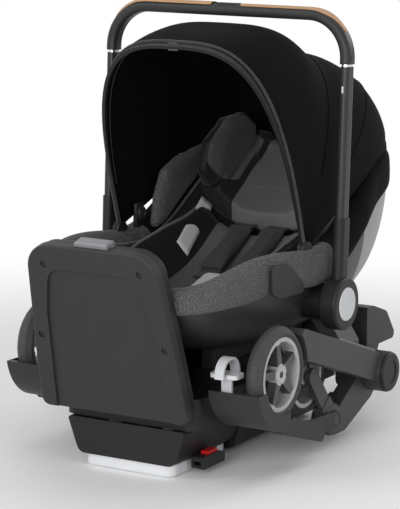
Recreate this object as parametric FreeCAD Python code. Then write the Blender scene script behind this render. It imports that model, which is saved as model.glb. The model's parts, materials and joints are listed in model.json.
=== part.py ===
"""Infant car seat with a fold-away stroller chassis, docked on its vehicle base.

Row frame: millimetres, +Z up, the child's feet towards -Y, the child's head towards +Y.
The origin is the middle of the footprint, on the surface that the base stands on.
Pieces on both sides are modelled on the right (+X) and mirrored to the left.
"""
import FreeCAD
import Part
import math
import os

V = FreeCAD.Vector
X_AXIS = V(1, 0, 0)
Y_AXIS = V(0, 1, 0)
Z_AXIS = V(0, 0, 1)
HERE = V(0, 0, 0)

# ---------------------------------------------------------------- driving dimensions
GAP = 0.4                     # between neighbours that don't touch
RUNNING = 0.05                # radial clearance of a pin in its hole
SLIP = 0.6                    # around a sliding button or plunger

# vehicle base
FOOT_HEIGHT = 19.0            # the pale foot under the pan
FOOT_HALF = 75.0
FOOT_FRONT_Y = -255.0
FOOT_REAR_Y = -100.0
FOOT_POST_RADIUS = 9.0
FOOT_POST_HEIGHT = 50.0
FOOT_POST_X = 45.0
FOOT_POST_Y = (-215.0, -140.0)
PAN_FRONT_Y = -259.0
PAN_STEP_Y = -92.0            # rear of the deep front block
PAN_REAR_Y = 165.0
PAN_HALF_LOW = 80.0
PAN_HALF_HIGH = 99.0
PAN_TOP_Z = 72.0
PAN_WALL = 4.0
PAD_HEIGHT = 6.0              # rubber pads under the rear of the pan
PAD_SIZE = 34.0
SHELL_FRONT_HALF = 112.0
SHELL_HALF = 120.0
SHELL_FRONT_Y = -250.0
SHELL_REAR_Y = 178.0
SHELL_TOP_Z = 118.0
SHELL_WALL = 4.0
SHELL_WAIST_Y = -80.0         # front of the wide part
SPINE_TOP_Z = 200.0           # rib that carries the upright panel
SPINE_HALF = 80.0
RAIL_TOP_Z = 139.6            # rails that carry the seat's runners
RAIL_X = 70.0
RAIL_WIDTH = 26.0
RAIL_FRONT_Y = -160.0
RAIL_REAR_Y = 130.0
CONNECTOR_X = 84.5            # lower-anchor connectors, stowed beside the foot
CONNECTOR_SIZE = (20.0, 60.0, 18.0)
CONNECTOR_Y = -188.0
CONNECTOR_Z = 9.0
BUTTON_PRESS = 4.0

# upright panel at the foot end
PANEL_TILT = math.radians(14.25)
PANEL_FOOT_Y = -288.3         # front face at PANEL_FOOT_Z
PANEL_FOOT_Z = 91.0
PANEL_LENGTH = 255.0          # up the slope
PANEL_HALF_LOW = 122.0
PANEL_HALF_MID = 118.0
PANEL_HALF_HIGH = 105.0
PANEL_MID = 85.0
PANEL_CORNER = 40.0
COVER_THICK = 14.0
PANEL_THICK = 34.0
PANEL_WALL = 4.0
RECESS_DEPTH = 4.0
RECESS_LENGTH = PANEL_LENGTH - 35.0
RECESS_HALF_LOW = 98.0
RECESS_HALF_MID = 86.0
RECESS_HALF_HIGH = 73.0
RECESS_MID = PANEL_LENGTH - 101.0
SCREW_HEAD = 4.4
SCREW_SHANK = 2.0
SCREW_LENGTH = 24.0
SCREW_SPOTS = ((78.7, PANEL_LENGTH - 29.0), (101.9, PANEL_LENGTH - 140.5))   # half spacing, height up the slope
TAB_HALF = 27.0
TAB_RISE = 7.0
TAB_LENGTH = 34.0             # of the tab inside the panel
TAB_DEPTH = 20.0
TAB_TRAVEL = 6.0

# seat
# Bucket sections along Y: place, half width at the rim, rim height, floor height
BUCKET = ((-290.0, 112.0, 272.0, 246.0), (-268.0, 136.0, 281.0, 216.0), (-210.0, 156.0, 298.0, 180.0),
          (-120.0, 165.0, 304.0, 158.0), (-20.0, 166.0, 292.0, 152.0), (60.0, 165.0, 305.0, 152.0),
          (130.0, 163.0, 345.0, 154.0), (200.0, 159.0, 384.0, 166.0), (250.0, 151.0, 396.0, 190.0),
          (290.0, 136.0, 400.0, 262.0), (318.0, 116.0, 401.0, 316.0), (334.0, 92.0, 400.0, 350.0))
# Child's side of the foam: place, half width, floor height
NEST = ((-272.0, 78.0, 264.0), (-215.0, 112.0, 228.0), (-140.0, 126.0, 204.0), (-60.0, 130.0, 198.0),
        (20.0, 130.0, 214.0), (100.0, 128.0, 252.0), (180.0, 126.0, 300.0), (250.0, 120.0, 346.0),
        (310.0, 98.0, 384.0))
BUCKET_SQUARE = 2.9
NEST_SQUARE = 2.6
SHELL_THICK = 5.0
SKIRT_THICK = 14.0            # padded cover outside the rim
SKIRT_RISE = 4.0              # cover above the shell's rim
BOOT_THICK = 4.0              # the same cover behind the head, from here on
BOOT_FROM_Y = 200.0
POCKET_ROOM = 6.0             # around the canopy's bosses
FOAM_DROP = 7.0               # top of the foam below the rim
SKIRT_DROP = 46.0             # cover below the rim
FOOT_DROP_SHARE = 0.4         # of that drop at the foot end
RUNNER_WIDTH = 18.0
INSERT_THICK = 14.0
STRAP_LIFT = 8.0              # straps above the middle of the insert
CUSHION_GAP = 0.8             # between soft pieces
INSERT_SIDE = 62.0
INSERT_FROM_Y = -150.0
INSERT_TO_Y = 120.0
BOLSTER_IN_X = 129.0          # raised sides of the cover beside the child
BOLSTER_OUT_X = 145.5
BOLSTER_CREST = ((38.0, 344.0), (63.0, 386.0), (110.0, 403.0), (160.0, 411.0), (208.0, 413.0))
BOLSTER_FROM_Y = 30.0
BOLSTER_TO_Y = 228.0
HEAD_WING = 34.0
HEAD_SIDE = 70.0
HEAD_FROM_Y = 140.0
HEAD_TO_Y = 285.0
WING_IN_X = 78.0
WING_OUT_X = 99.0
WING_OUTLINE = ((150, 352), (118, 352), (98, 385), (116, 430), (165, 460), (215, 464), (255, 440), (262, 400),
                (240, 372))
STRAP_X = 28.0
STRAP_WIDE = 36.0
STRAP_THICK = 2.0
HARNESS_PAD_THICK = 12.0
HARNESS_PAD_WIDE = 46.0
PAD_FROM_Y = 24.0
PAD_TO_Y = 120.0
BELT_GUIDE_X = 166.0 + SKIRT_THICK + 1.3
BUCKLE_Y = -24.0

# carry handle
HANDLE_Y = 7.0                # pivot
HANDLE_Z = 220.5
HANDLE_HALF = 200.0           # middle of each tube
HANDLE_LEAN = math.radians(3.0)
HUB_RADIUS = 39.0
HUB_IN_X = HANDLE_HALF - 14.0
HUB_OUT_X = HANDLE_HALF + 14.0
PIVOT_RADIUS = 14.0
BUTTON_RADIUS = 24.7
SLEEVE_WIDTH = 18.0
SLEEVE_DEPTH = 28.0
SLEEVE_TOP = 125.0            # heights along the arm, from the pivot
TUBE_WIDTH = 14.0
TUBE_DEPTH = 24.0
TUBE_WALL = 1.4
TUBE_FOOT = 52.0
TUBE_TOP = 345.0
INNER_FOOT = 150.0
INNER_TOP = TUBE_TOP + 11.0    # bright tube, up inside the grip
RING_GAP = 3.6                # bright tube seen between tube and grip
GRIP_TOP = TUBE_TOP + 82.0
GRIP_CORNER = 62.0            # middle radius of the grip's corners
GRIP_WIDTH = 17.0
GRIP_DEPTH = 25.0
GRIP_MIDDLE = 19.0            # thickness of the grip's crossbar
TRIM_THICK = 2.5
TRIM_DEPTH = 21.0
BUTTON_HALF = 18.0

# canopy
CANOPY_Y = -24.0
CANOPY_Z = 301.0
CANOPY_HALF = 159.0           # half width of the front bow
CANOPY_THICK = 2.5
CANOPY_FOOT = 26.0            # height of the fabric's side edge above the pivot
BOW_THICK = 5.0
BOSS_RADIUS = 13.0
# angle forward of vertical, radius at the middle, half width, squareness
BOW_FRONT = (17.2, 315.0, 159.0, 3.2)
FRONT_ARCHES = ((16.6, 315.0, 159.0, 3.2), (4.0, 318.0, 160.0, 3.4), (-10.0, 322.0, 161.0, 3.6),
                (-24.0, 305.0, 162.0, 3.8))
REAR_ARCHES = ((-26.0, 305.0, 162.0, 3.8), (-36.0, 325.0, 163.0, 4.0), (-50.0, 352.0, 164.0, 4.4),
               (-64.0, 377.0, 163.0, 4.5), (-76.0, 386.0, 158.0, 4.4))

# stroller chassis
WHEEL_Y = -171.0
WHEEL_Z = 151.0
WHEEL_RADIUS = 68.0
WHEEL_RIM = WHEEL_RADIUS - 15.0
WHEEL_IN_X = 180.0
WHEEL_OUT_X = 207.0
SPOKES = 5
AXLE_RADIUS = 5.0
CASTER_Y = -35.0
CASTER_Z = 116.0
CASTER_RADIUS = 57.0
CASTER_RIM = CASTER_RADIUS - 10.0
CASTER_IN_X = 150.0
CASTER_OUT_X = 173.0
FORK_THICK = 7.5
BEAM_IN_X = 184.5
BEAM_OUT_X = 207.0
BEAM_DEPTH = 43.0
STRIP_THICK = 3.0             # metal strip on the beam
STRIP_FROM_Y = 0.0
STRIP_TO_Y = 118.0
BEAM_CLEAR = WHEEL_RADIUS + 4.0   # radius kept free around the front wheel
BEAM_FRONT = (-119.0, 186.5)
BEAM_LIFT = 3.0               # end of the beam above the knee's centre
KNEE_Y = 150.0                # rear hub
KNEE_Z = 89.0
KNEE_RADIUS = 31.0
KNEE_OUT_X = 217.0
KNEE_PIN = 9.0
LEG_IN_X = 160.0
LEG_OUT_X = 183.0
ELBOW_Y = 25.0
ELBOW_Z = 39.0
ELBOW_RADIUS = 25.0
ELBOW_PIN = 8.0
CHEEK_THICK = 5.0
BAR_IN_X = 191.0
BAR_OUT_X = 209.0
BAR_TIP_Y = -49.0
BAR_DEPTH = 27.0
LUG_THICK = 3.2
FENDER_IN_X = 131.0
FENDER_RADIUS = WHEEL_RADIUS + 8.0
FENDER_WALL = 4.0
PEDAL_IN_X = 127.0
PEDAL_OUT_X = 171.0
PEDAL_Y = WHEEL_Y - WHEEL_RADIUS + 10.0
PEDAL_Z = 118.0
PEDAL_TOP = 158.0
PEDAL_PIN = 2.5
PEDAL_EAR_X = 137.0
PEDAL_EAR_GAP = 22.0


# ---------------------------------------------------------------- helpers
def save(name, *shapes):
    """Write one sub-part; several solids stay separate in one file."""
    solids = []
    for shape in shapes:
        solids.extend(shape.Solids)
    result = solids[0] if len(solids) == 1 else Part.makeCompound(solids)
    result.exportStep("parts/%s.step" % name)


def mirrored(shape):
    return shape.mirror(HERE, X_AXIS)


def save_pair(name, *shapes):
    """Write the right-hand piece and its mirror image."""
    save(name + "_right", *shapes)
    save(name + "_left", *[mirrored(shape) for shape in shapes])


def box(x0, x1, y0, y1, z0, z1):
    return Part.makeBox(x1 - x0, y1 - y0, z1 - z0, V(x0, y0, z0))


def rod(start, direction, radius, length):
    return Part.makeCylinder(radius, length, start, direction)


def disc_x(y, z, radius, x0, x1):
    """Cylinder along X between two planes."""
    return rod(V(x0, y, z), X_AXIS, radius, x1 - x0)


def rounded_wire(points, radius, place):
    """Closed outline with each corner rounded; radius is one value or one for each point."""
    count = len(points)
    radii = radius if isinstance(radius, (list, tuple)) else [radius] * count
    corners = []
    for i in range(count):
        here = V(points[i][0], points[i][1], 0)
        before = V(points[i - 1][0], points[i - 1][1], 0) - here
        after = V(points[(i + 1) % count][0], points[(i + 1) % count][1], 0) - here
        angle = before.getAngle(after)
        if radii[i] == 0 or angle > math.radians(179.8):
            corners.append((here, None, here))
            continue
        reach = min(radii[i] / math.tan(angle / 2), 0.48 * before.Length, 0.48 * after.Length)
        size = reach * math.tan(angle / 2)
        before.normalize()
        after.normalize()
        inwards = before + after
        inwards.normalize()
        middle = here + inwards * (size / math.sin(angle / 2) - size)
        corners.append((here + before * reach, middle, here + after * reach))
    edges = []
    for i, (start, middle, end) in enumerate(corners):
        if middle is not None:
            edges.append(Part.Arc(place(start), place(middle), place(end)).toShape())
        following = corners[(i + 1) % count][0]
        if (following - end).Length > 1e-6:
            edges.append(Part.LineSegment(place(end), place(following)).toShape())
    return Part.Wire(edges)


def plate_x(points, radius, x0, x1):
    """Outline of (y, z) points, rounded and extruded along X."""
    wire = rounded_wire(points, radius, lambda p: V(x0, p.x, p.y))
    return Part.Face(wire).extrude(V(x1 - x0, 0, 0))


def plate_y(points, radius, y0, y1):
    """Outline of (x, z) points, rounded and extruded along Y."""
    wire = rounded_wire(points, radius, lambda p: V(p.x, y0, p.y))
    return Part.Face(wire).extrude(V(0, y1 - y0, 0))


def plate_z(points, radius, z0, z1):
    """Outline of (x, y) points, rounded and extruded along Z."""
    wire = rounded_wire(points, radius, lambda p: V(p.x, p.y, z0))
    return Part.Face(wire).extrude(V(0, 0, z1 - z0))


def bar_between(start, end, depth, radius, x0, x1):
    """Flat bar in the YZ plane from start to end, (y, z) each, with rounded corners."""
    along = V(end[0] - start[0], end[1] - start[1], 0)
    along.normalize()
    side = V(-along.y, along.x, 0) * (depth / 2)
    corners = []
    for spot, sign in ((start, 1), (end, 1), (end, -1), (start, -1)):
        corner = V(spot[0], spot[1], 0) + side * sign
        corners.append((corner.x, corner.y))
    return plate_x(corners, radius, x0, x1)


def turned(shape, y, z, degrees):
    """Copy turned about an X axis through (y, z)."""
    result = shape.copy()
    result.rotate(V(0, y, z), X_AXIS, degrees)
    return result


def on_panel(shape):
    """From the panel's own frame (Z up the slope, Y into the panel) to the row frame."""
    result = shape.copy()
    result.rotate(HERE, X_AXIS, math.degrees(PANEL_TILT))
    result.translate(V(0, PANEL_FOOT_Y, PANEL_FOOT_Z))
    return result


def panel_front_y(z):
    return PANEL_FOOT_Y - (z - PANEL_FOOT_Z) * math.tan(PANEL_TILT)


# ---------------------------------------------------------------- vehicle base
def recline_foot():
    body = plate_z([(-FOOT_HALF, FOOT_FRONT_Y), (FOOT_HALF, FOOT_FRONT_Y), (FOOT_HALF, FOOT_REAR_Y),
                    (-FOOT_HALF, FOOT_REAR_Y)], 16, 0, FOOT_HEIGHT)
    bottom = [edge for edge in body.Edges if edge.BoundBox.ZMax < 0.1]
    body = body.makeFillet(6, bottom)
    for x in (-FOOT_POST_X, FOOT_POST_X):
        for y in FOOT_POST_Y:
            post = rod(V(x, y, FOOT_HEIGHT - 4), Z_AXIS, FOOT_POST_RADIUS, FOOT_POST_HEIGHT + 4)
            body = body.fuse(post)
    return body.removeSplitter()


def base_pan():
    floor_z = FOOT_HEIGHT + GAP
    front = [(-PAN_HALF_LOW, floor_z), (PAN_HALF_LOW, floor_z), (PAN_HALF_HIGH, PAN_TOP_Z),
             (-PAN_HALF_HIGH, PAN_TOP_Z)]
    rear = [(-PAN_HALF_LOW, PAD_HEIGHT), (PAN_HALF_LOW, PAD_HEIGHT), (PAN_HALF_HIGH, PAN_TOP_Z),
            (-PAN_HALF_HIGH, PAN_TOP_Z)]
    body = plate_y(front, [14, 14, 4, 4], PAN_FRONT_Y, PAN_STEP_Y)
    body = body.fuse(plate_y(rear, [14, 14, 4, 4], PAN_STEP_Y, PAN_REAR_Y))
    w = PAN_WALL
    hollow = [(-PAN_HALF_LOW + 2 * w, floor_z + w), (PAN_HALF_LOW - 2 * w, floor_z + w),
              (PAN_HALF_HIGH - w, PAN_TOP_Z + w), (-PAN_HALF_HIGH + w, PAN_TOP_Z + w)]
    body = body.cut(plate_y(hollow, 6, PAN_FRONT_Y + w, PAN_REAR_Y - w))
    for x in (-FOOT_POST_X, FOOT_POST_X):
        for y in FOOT_POST_Y:
            body = body.cut(rod(V(x, y, 0), Z_AXIS, FOOT_POST_RADIUS + SLIP, PAN_TOP_Z))
    return body


def base_pads():
    pads = []
    for x in (-1, 1):
        for y in (PAN_STEP_Y + 30, PAN_REAR_Y - 30 - PAD_SIZE):
            left = x * (PAN_HALF_LOW - 36) - PAD_SIZE / 2
            square = [(left, y), (left + PAD_SIZE, y), (left + PAD_SIZE, y + PAD_SIZE), (left, y + PAD_SIZE)]
            pads.append(plate_z(square, 8, 0, PAD_HEIGHT))
    return pads


def base_shell():
    low = PAN_TOP_Z
    plan = [(-SHELL_FRONT_HALF, SHELL_FRONT_Y), (SHELL_FRONT_HALF, SHELL_FRONT_Y),
            (SHELL_HALF, SHELL_WAIST_Y), (SHELL_HALF, SHELL_REAR_Y), (-SHELL_HALF, SHELL_REAR_Y),
            (-SHELL_HALF, SHELL_WAIST_Y)]
    body = plate_z(plan, [22, 22, 60, 34, 34, 60], low, SHELL_TOP_Z)
    w = SHELL_WALL
    inner = [(-SHELL_FRONT_HALF + w, SHELL_FRONT_Y + w), (SHELL_FRONT_HALF - w, SHELL_FRONT_Y + w),
             (SHELL_HALF - w, SHELL_WAIST_Y), (SHELL_HALF - w, SHELL_REAR_Y - w),
             (-SHELL_HALF + w, SHELL_REAR_Y - w), (-SHELL_HALF + w, SHELL_WAIST_Y)]
    body = body.cut(plate_z(inner, [18, 18, 60, 30, 30, 60], low - 1, SHELL_TOP_Z - w))
    spine_back = panel_front_y(SPINE_TOP_Z) + PANEL_THICK / math.cos(PANEL_TILT) + GAP
    spine_foot = panel_front_y(low) + PANEL_THICK / math.cos(PANEL_TILT) + GAP
    slope = (spine_back - spine_foot) / (SPINE_TOP_Z - low)
    bottom_y = spine_foot + slope * (SHELL_TOP_Z - 20 - low)
    spine = plate_x([(bottom_y, SHELL_TOP_Z - 20), (SHELL_FRONT_Y + 36, SHELL_TOP_Z - 20),
                     (SHELL_FRONT_Y + 36, SHELL_TOP_Z + 4), (spine_back + 14, SPINE_TOP_Z),
                     (spine_back, SPINE_TOP_Z)], 3, -SPINE_HALF, SPINE_HALF)
    body = body.fuse(spine)
    for x in (-RAIL_X, RAIL_X):
        rail = box(x - RAIL_WIDTH / 2, x + RAIL_WIDTH / 2, RAIL_FRONT_Y, RAIL_REAR_Y, SHELL_TOP_Z - 2, RAIL_TOP_Z)
        body = body.fuse(rail)
    return body.removeSplitter()


def panel_outline(shrink):
    high = PANEL_LENGTH - shrink
    return [(-PANEL_HALF_LOW + shrink, shrink), (PANEL_HALF_LOW - shrink, shrink),
            (PANEL_HALF_MID - shrink, PANEL_MID), (PANEL_HALF_HIGH - shrink, high),
            (-PANEL_HALF_HIGH + shrink, high), (-PANEL_HALF_MID + shrink, PANEL_MID)]


def panel_radii(shrink):
    corner = PANEL_CORNER - shrink
    return [12, 12, 90, corner, corner, 90]


def tab_slot(extra):
    """Space that the release tab moves in, in the panel's frame."""
    low = PANEL_LENGTH - TAB_LENGTH - TAB_TRAVEL
    return box(-TAB_HALF - extra, TAB_HALF + extra, PANEL_THICK / 2 - TAB_DEPTH / 2 - extra,
               PANEL_THICK / 2 + TAB_DEPTH / 2 + extra, low - extra, PANEL_LENGTH + TAB_RISE)


def panel_cover():
    body = plate_y(panel_outline(0), panel_radii(0), 0, COVER_THICK)
    front = [edge for edge in body.Edges if edge.BoundBox.YMax < 0.1]
    body = body.makeFillet(3, front)
    recess = [(-RECESS_HALF_LOW, -20), (RECESS_HALF_LOW, -20), (RECESS_HALF_MID, RECESS_MID),
              (RECESS_HALF_HIGH, RECESS_LENGTH), (-RECESS_HALF_HIGH, RECESS_LENGTH),
              (-RECESS_HALF_MID, RECESS_MID)]
    body = body.cut(plate_y(recess, [4, 4, 90, 26, 26, 90], -1, RECESS_DEPTH))
    w = PANEL_WALL
    hollow = plate_y(panel_outline(3 * w), panel_radii(3 * w), RECESS_DEPTH + w, COVER_THICK + 1)
    body = body.cut(hollow)
    for half, height in SCREW_SPOTS:
        for x in (-half, half):
            boss = rod(V(x, 2, height), Y_AXIS, SCREW_HEAD + 3, COVER_THICK - 2)
            body = body.fuse(boss)
            body = body.cut(rod(V(x, -1, height), Y_AXIS, SCREW_HEAD + 0.9, 5.5))
            body = body.cut(rod(V(x, 0, height), Y_AXIS, SCREW_SHANK + RUNNING, COVER_THICK + 1))
    body = body.cut(tab_slot(SLIP))
    return on_panel(body.removeSplitter())


def panel_back():
    step = 3
    body = plate_y(panel_outline(step), panel_radii(step), COVER_THICK, PANEL_THICK)
    back = [edge for edge in body.Edges if edge.BoundBox.YMin > PANEL_THICK - 0.1]
    body = body.makeFillet(6, back)
    w = PANEL_WALL
    body = body.cut(plate_y(panel_outline(3 * w), panel_radii(3 * w), COVER_THICK - 1, PANEL_THICK - w))
    for half, height in SCREW_SPOTS:
        for x in (-half, half):
            post = rod(V(x, COVER_THICK, height), Y_AXIS, SCREW_HEAD + 2, PANEL_THICK - COVER_THICK - 2)
            body = body.fuse(post)
            body = body.cut(rod(V(x, 0, height), Y_AXIS, SCREW_SHANK + RUNNING, SCREW_LENGTH + 6))
    body = body.cut(tab_slot(SLIP))
    guide_top = PANEL_LENGTH - TAB_LENGTH - TAB_TRAVEL - SLIP
    guide = box(-TAB_HALF - 6, TAB_HALF + 6, COVER_THICK, PANEL_THICK - w, guide_top - 14,
                guide_top)
    return on_panel(body.fuse(guide).removeSplitter())


def panel_screws():
    screws = []
    for half, height in SCREW_SPOTS:
        for x in (-half, half):
            head = rod(V(x, 1.5, height), Y_AXIS, SCREW_HEAD, 3)
            head = head.cut(box(x - 0.7, x + 0.7, 0, 2.6, height - 3, height + 3))
            head = head.cut(box(x - 3, x + 3, 0, 2.6, height - 0.7, height + 0.7))
            shank = rod(V(x, 4.5, height), Y_AXIS, SCREW_SHANK, SCREW_LENGTH - 3)
            screws.append(on_panel(head.fuse(shank)))
    return screws


def seat_release_tab():
    low = PANEL_LENGTH - TAB_LENGTH
    body = box(-TAB_HALF, TAB_HALF, PANEL_THICK / 2 - TAB_DEPTH / 2, PANEL_THICK / 2 + TAB_DEPTH / 2,
               low, PANEL_LENGTH + TAB_RISE)
    top = [edge for edge in body.Edges if edge.BoundBox.ZMin > PANEL_LENGTH + TAB_RISE - 0.1]
    return on_panel(body.makeFillet(4, top))


def connector_pocket():
    """Well that the red button sinks into."""
    wide, long, high = CONNECTOR_SIZE
    top = CONNECTOR_Z + high
    return box(CONNECTOR_X + 3, CONNECTOR_X + wide - 3, CONNECTOR_Y - 10, CONNECTOR_Y + 16,
               top - BUTTON_PRESS - 3, top + 1)


def connector():
    """Lower-anchor connector, stowed beside the foot with its jaw facing forwards."""
    wide, long, high = CONNECTOR_SIZE
    x0 = CONNECTOR_X
    y0 = CONNECTOR_Y - long / 2
    y1 = CONNECTOR_Y + long / 2
    top = CONNECTOR_Z + high
    body = plate_x([(y0, CONNECTOR_Z), (y1, CONNECTOR_Z), (y1, top - 4), (y1 - 14, top), (y0, top)],
                   3, x0, x0 + wide)
    body = body.cut(box(x0 + 4, x0 + wide - 4, y0 - 1, y0 + 16, CONNECTOR_Z + 5, CONNECTOR_Z + 11))
    return body.cut(connector_pocket())


def connector_button():
    wide, long, high = CONNECTOR_SIZE
    top = CONNECTOR_Z + high
    side = 3 + SLIP
    return box(CONNECTOR_X + side, CONNECTOR_X + wide - side, CONNECTOR_Y - 10 + SLIP,
               CONNECTOR_Y + 16 - SLIP, top - 2.4, top + BUTTON_PRESS)


def connector_dock():
    """Clip on the pan that holds a stowed connector."""
    return box(PAN_HALF_LOW - 3, CONNECTOR_X, CONNECTOR_Y - 12, CONNECTOR_Y + 12, FOOT_HEIGHT + GAP,
               CONNECTOR_Z + 16)


# ---------------------------------------------------------------- seat
def rim_height(y):
    """Height of the shell's rim at a place along the seat."""
    spots = [(row[0], row[2]) for row in BUCKET]
    for (y0, z0), (y1, z1) in zip(spots, spots[1:]):
        if y <= y1:
            return z0 + (z1 - z0) * (y - y0) / (y1 - y0)
    return spots[-1][1]


def cradle_wire(y, half, top, floor, square):
    """Half superellipse hanging from a straight top edge, in the plane of one Y."""
    points = []
    steps = 12
    for i in range(steps + 1):
        angle = math.pi * i / steps
        c = math.cos(angle)
        x = half * math.copysign(abs(c) ** (2 / square), c)
        z = top - (top - floor) * math.sin(angle) ** (2 / square)
        points.append(V(x, y, z))
    curve = Part.BSplineCurve()
    curve.interpolate(points)
    return Part.Wire([curve.toShape(), Part.LineSegment(points[-1], points[0]).toShape()])


def bucket(inset, raise_top, rows=BUCKET):
    """Solid filling the bucket, drawn in by inset on its sides, floor and ends."""
    wires = []
    first, last = rows[0][0], rows[-1][0]
    for y, half, top, floor in rows:
        place = min(max(y, first + inset), last - inset)
        depth = max(top + raise_top - (floor + inset), 6.0)
        wires.append(cradle_wire(place, half - inset, top + raise_top, top + raise_top - depth, BUCKET_SQUARE))
    kept = [wires[0]]
    for wire in wires[1:]:
        if wire.BoundBox.YMax > kept[-1].BoundBox.YMax + 2:
            kept.append(wire)
    return Part.makeLoft(kept, True, False)


def nest():
    """Reclined hollow that the child lies in."""
    wires = []
    for y, half, floor in NEST:
        wires.append(cradle_wire(y, half, rim_height(y) + 60, floor, NEST_SQUARE))
    return Part.makeLoft(wires, True, False)


def rim_prism(offset, above):
    """Everything above, or below, the rim line moved up by offset."""
    line = [(row[0], row[2] + offset) for row in BUCKET]
    first, last = line[0], line[-1]
    far = 700 if above else 0
    outline = [(first[0] - 60, first[1]), *line, (last[0] + 60, last[1]), (last[0] + 60, far),
               (first[0] - 60, far)]
    return plate_x(outline, 0, -260, 260)


def largest(shape):
    return max(shape.Solids, key=lambda solid: solid.Volume)


def seat_shell():
    body = bucket(0, 0).cut(bucket(SHELL_THICK, 12))
    for x in (-RAIL_X, RAIL_X):
        runner = box(x - RUNNER_WIDTH / 2, x + RUNNER_WIDTH / 2, RAIL_FRONT_Y + 10, RAIL_REAR_Y - 10,
                     RAIL_TOP_Z + GAP, 175)
        body = body.fuse(runner.cut(bucket(2, 12)))
    return body.removeSplitter()


def canopy_pocket(radius, depth):
    """Room in the soft parts for the canopy's pivot bosses."""
    inner = CANOPY_HALF - depth
    pocket = disc_x(CANOPY_Y, CANOPY_Z, radius, inner, 200)
    pocket = pocket.fuse(box(inner, 200, CANOPY_Y - radius, CANOPY_Y + radius, CANOPY_Z, CANOPY_Z + 60))
    return pocket.fuse(mirrored(pocket))


def seat_foam():
    body = bucket(SHELL_THICK + GAP, 12).cut(rim_prism(-FOAM_DROP, True))
    body = body.cut(nest())
    return largest(body.cut(canopy_pocket(BOSS_RADIUS + POCKET_ROOM, BOW_THICK + 4)))


def side_bolsters():
    """Raised sides of the cover, standing on the foam inside the canopy."""
    seat = [(y, rim_height(y) - FOAM_DROP + CUSHION_GAP) for y in (BOLSTER_FROM_Y, 60, 130, 200, BOLSTER_TO_Y)]
    body = plate_x([*BOLSTER_CREST, *reversed(seat)], 8, BOLSTER_IN_X, BOLSTER_OUT_X)
    return [body, mirrored(body)]


def seat_skirt():
    """Padded textile roll around the outside of the rim, turned in over its edge."""
    rows = []
    for y, half, top, floor in BUCKET:
        thick = SKIRT_THICK if y < BOOT_FROM_Y else BOOT_THICK
        rows.append((y, half + thick + GAP, top + SKIRT_RISE, floor - 30))
    first, last = rows[0], rows[-1]
    rows[0] = (first[0] - 3, first[1] - 6, first[2], first[3])
    rows[-1] = (last[0] + 4, last[1] - 1, last[2], last[3])
    body = bucket(0, 0, rows).cut(bucket(-GAP, 0)).cut(bucket(SHELL_THICK + 5, 40))
    drops = [SKIRT_DROP * FOOT_DROP_SHARE] * 2 + [SKIRT_DROP] * (len(BUCKET) - 2)
    line = [(row[0], row[2] - drop) for row, drop in zip(BUCKET, drops)]
    under = plate_x([(line[0][0] - 60, line[0][1]), *line, (line[-1][0] + 60, line[-1][1]),
                     (line[-1][0] + 60, 0), (line[0][0] - 60, 0)], 0, -260, 260)
    body = body.cut(under).cut(canopy_pocket(BOSS_RADIUS + POCKET_ROOM, BOW_THICK + 4))
    return largest(body)


def along_nest(y, column):
    """Half width (column 1) or floor height (column 2) of the nest at a place along it."""
    for near, far in zip(NEST, NEST[1:]):
        if y <= far[0]:
            return near[column] + (far[column] - near[column]) * (y - near[0]) / (far[0] - near[0])
    return NEST[-1][column]


def nest_height(y):
    return along_nest(y, 2)


def nest_layer(low, high, y0, y1, cut_height):
    """Pad lying in the nest: between two insets, over a stretch of Y, up to a height over the floor."""
    steps = 6

    def filled(inset, reach):
        wires = []
        for i in range(steps + 1):
            y = y0 - reach + (y1 - y0 + 2 * reach) * i / steps
            wires.append(cradle_wire(y, along_nest(y, 1) - inset, rim_height(y) + 60,
                                     nest_height(y) + inset, NEST_SQUARE))
        return Part.makeLoft(wires, True, False)

    line = [(y0 - 20, nest_height(y0) + cut_height), (y1 + 20, nest_height(y1) + cut_height)]
    over = plate_x([*line, (y1 + 20, 700), (y0 - 20, 700)], 0, -220, 220)
    return largest(filled(low, 0).cut(filled(high, 5)).cut(over))


def body_insert():
    return nest_layer(CUSHION_GAP, INSERT_THICK, INSERT_FROM_Y, INSERT_TO_Y, INSERT_SIDE)


def head_support():
    """Pillow behind the head with a tall wing on each side."""
    body = nest_layer(2.2 * CUSHION_GAP, HEAD_WING, HEAD_FROM_Y, HEAD_TO_Y, HEAD_SIDE)
    wing = plate_x(WING_OUTLINE, 14, WING_IN_X, WING_OUT_X)
    return body.fuse([wing, mirrored(wing)]).removeSplitter()


def webbing(x, y0, y1, lift, thick, wide):
    """Flat webbing that follows the nest's floor line."""
    steps = 12
    low = []
    for i in range(steps + 1):
        y = y0 + (y1 - y0) * i / steps
        low.append((y, nest_height(y) + lift))
    high = [(y, z + thick) for y, z in reversed(low)]
    return plate_x([*low, *high], 0, x - wide / 2, x + wide / 2)


def harness_straps():
    strap = webbing(STRAP_X, BUCKLE_Y + 24.0, HEAD_FROM_Y - 4, INSERT_THICK + STRAP_LIFT, STRAP_THICK, STRAP_WIDE)
    return [strap, mirrored(strap)]


def harness_pads():
    lift = INSERT_THICK + STRAP_LIFT + STRAP_THICK + CUSHION_GAP
    pad = webbing(STRAP_X, PAD_FROM_Y, PAD_TO_Y, lift, HARNESS_PAD_THICK, HARNESS_PAD_WIDE)
    return [pad, mirrored(pad)]


def crotch_strap():
    return webbing(0, BUCKLE_Y - 62, BUCKLE_Y - 27, INSERT_THICK + CUSHION_GAP + 0.2, STRAP_THICK + 3, 34)


def buckle_place(shape):
    """Lay a shape modelled around the origin on the insert at the buckle's place."""
    result = shape.copy()
    rise = nest_height(BUCKLE_Y + 20) - nest_height(BUCKLE_Y - 20)
    result.rotate(HERE, X_AXIS, math.degrees(math.atan2(rise, 40)) + 8)
    result.translate(V(0, BUCKLE_Y, nest_height(BUCKLE_Y) + INSERT_THICK + 13))
    return result


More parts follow.
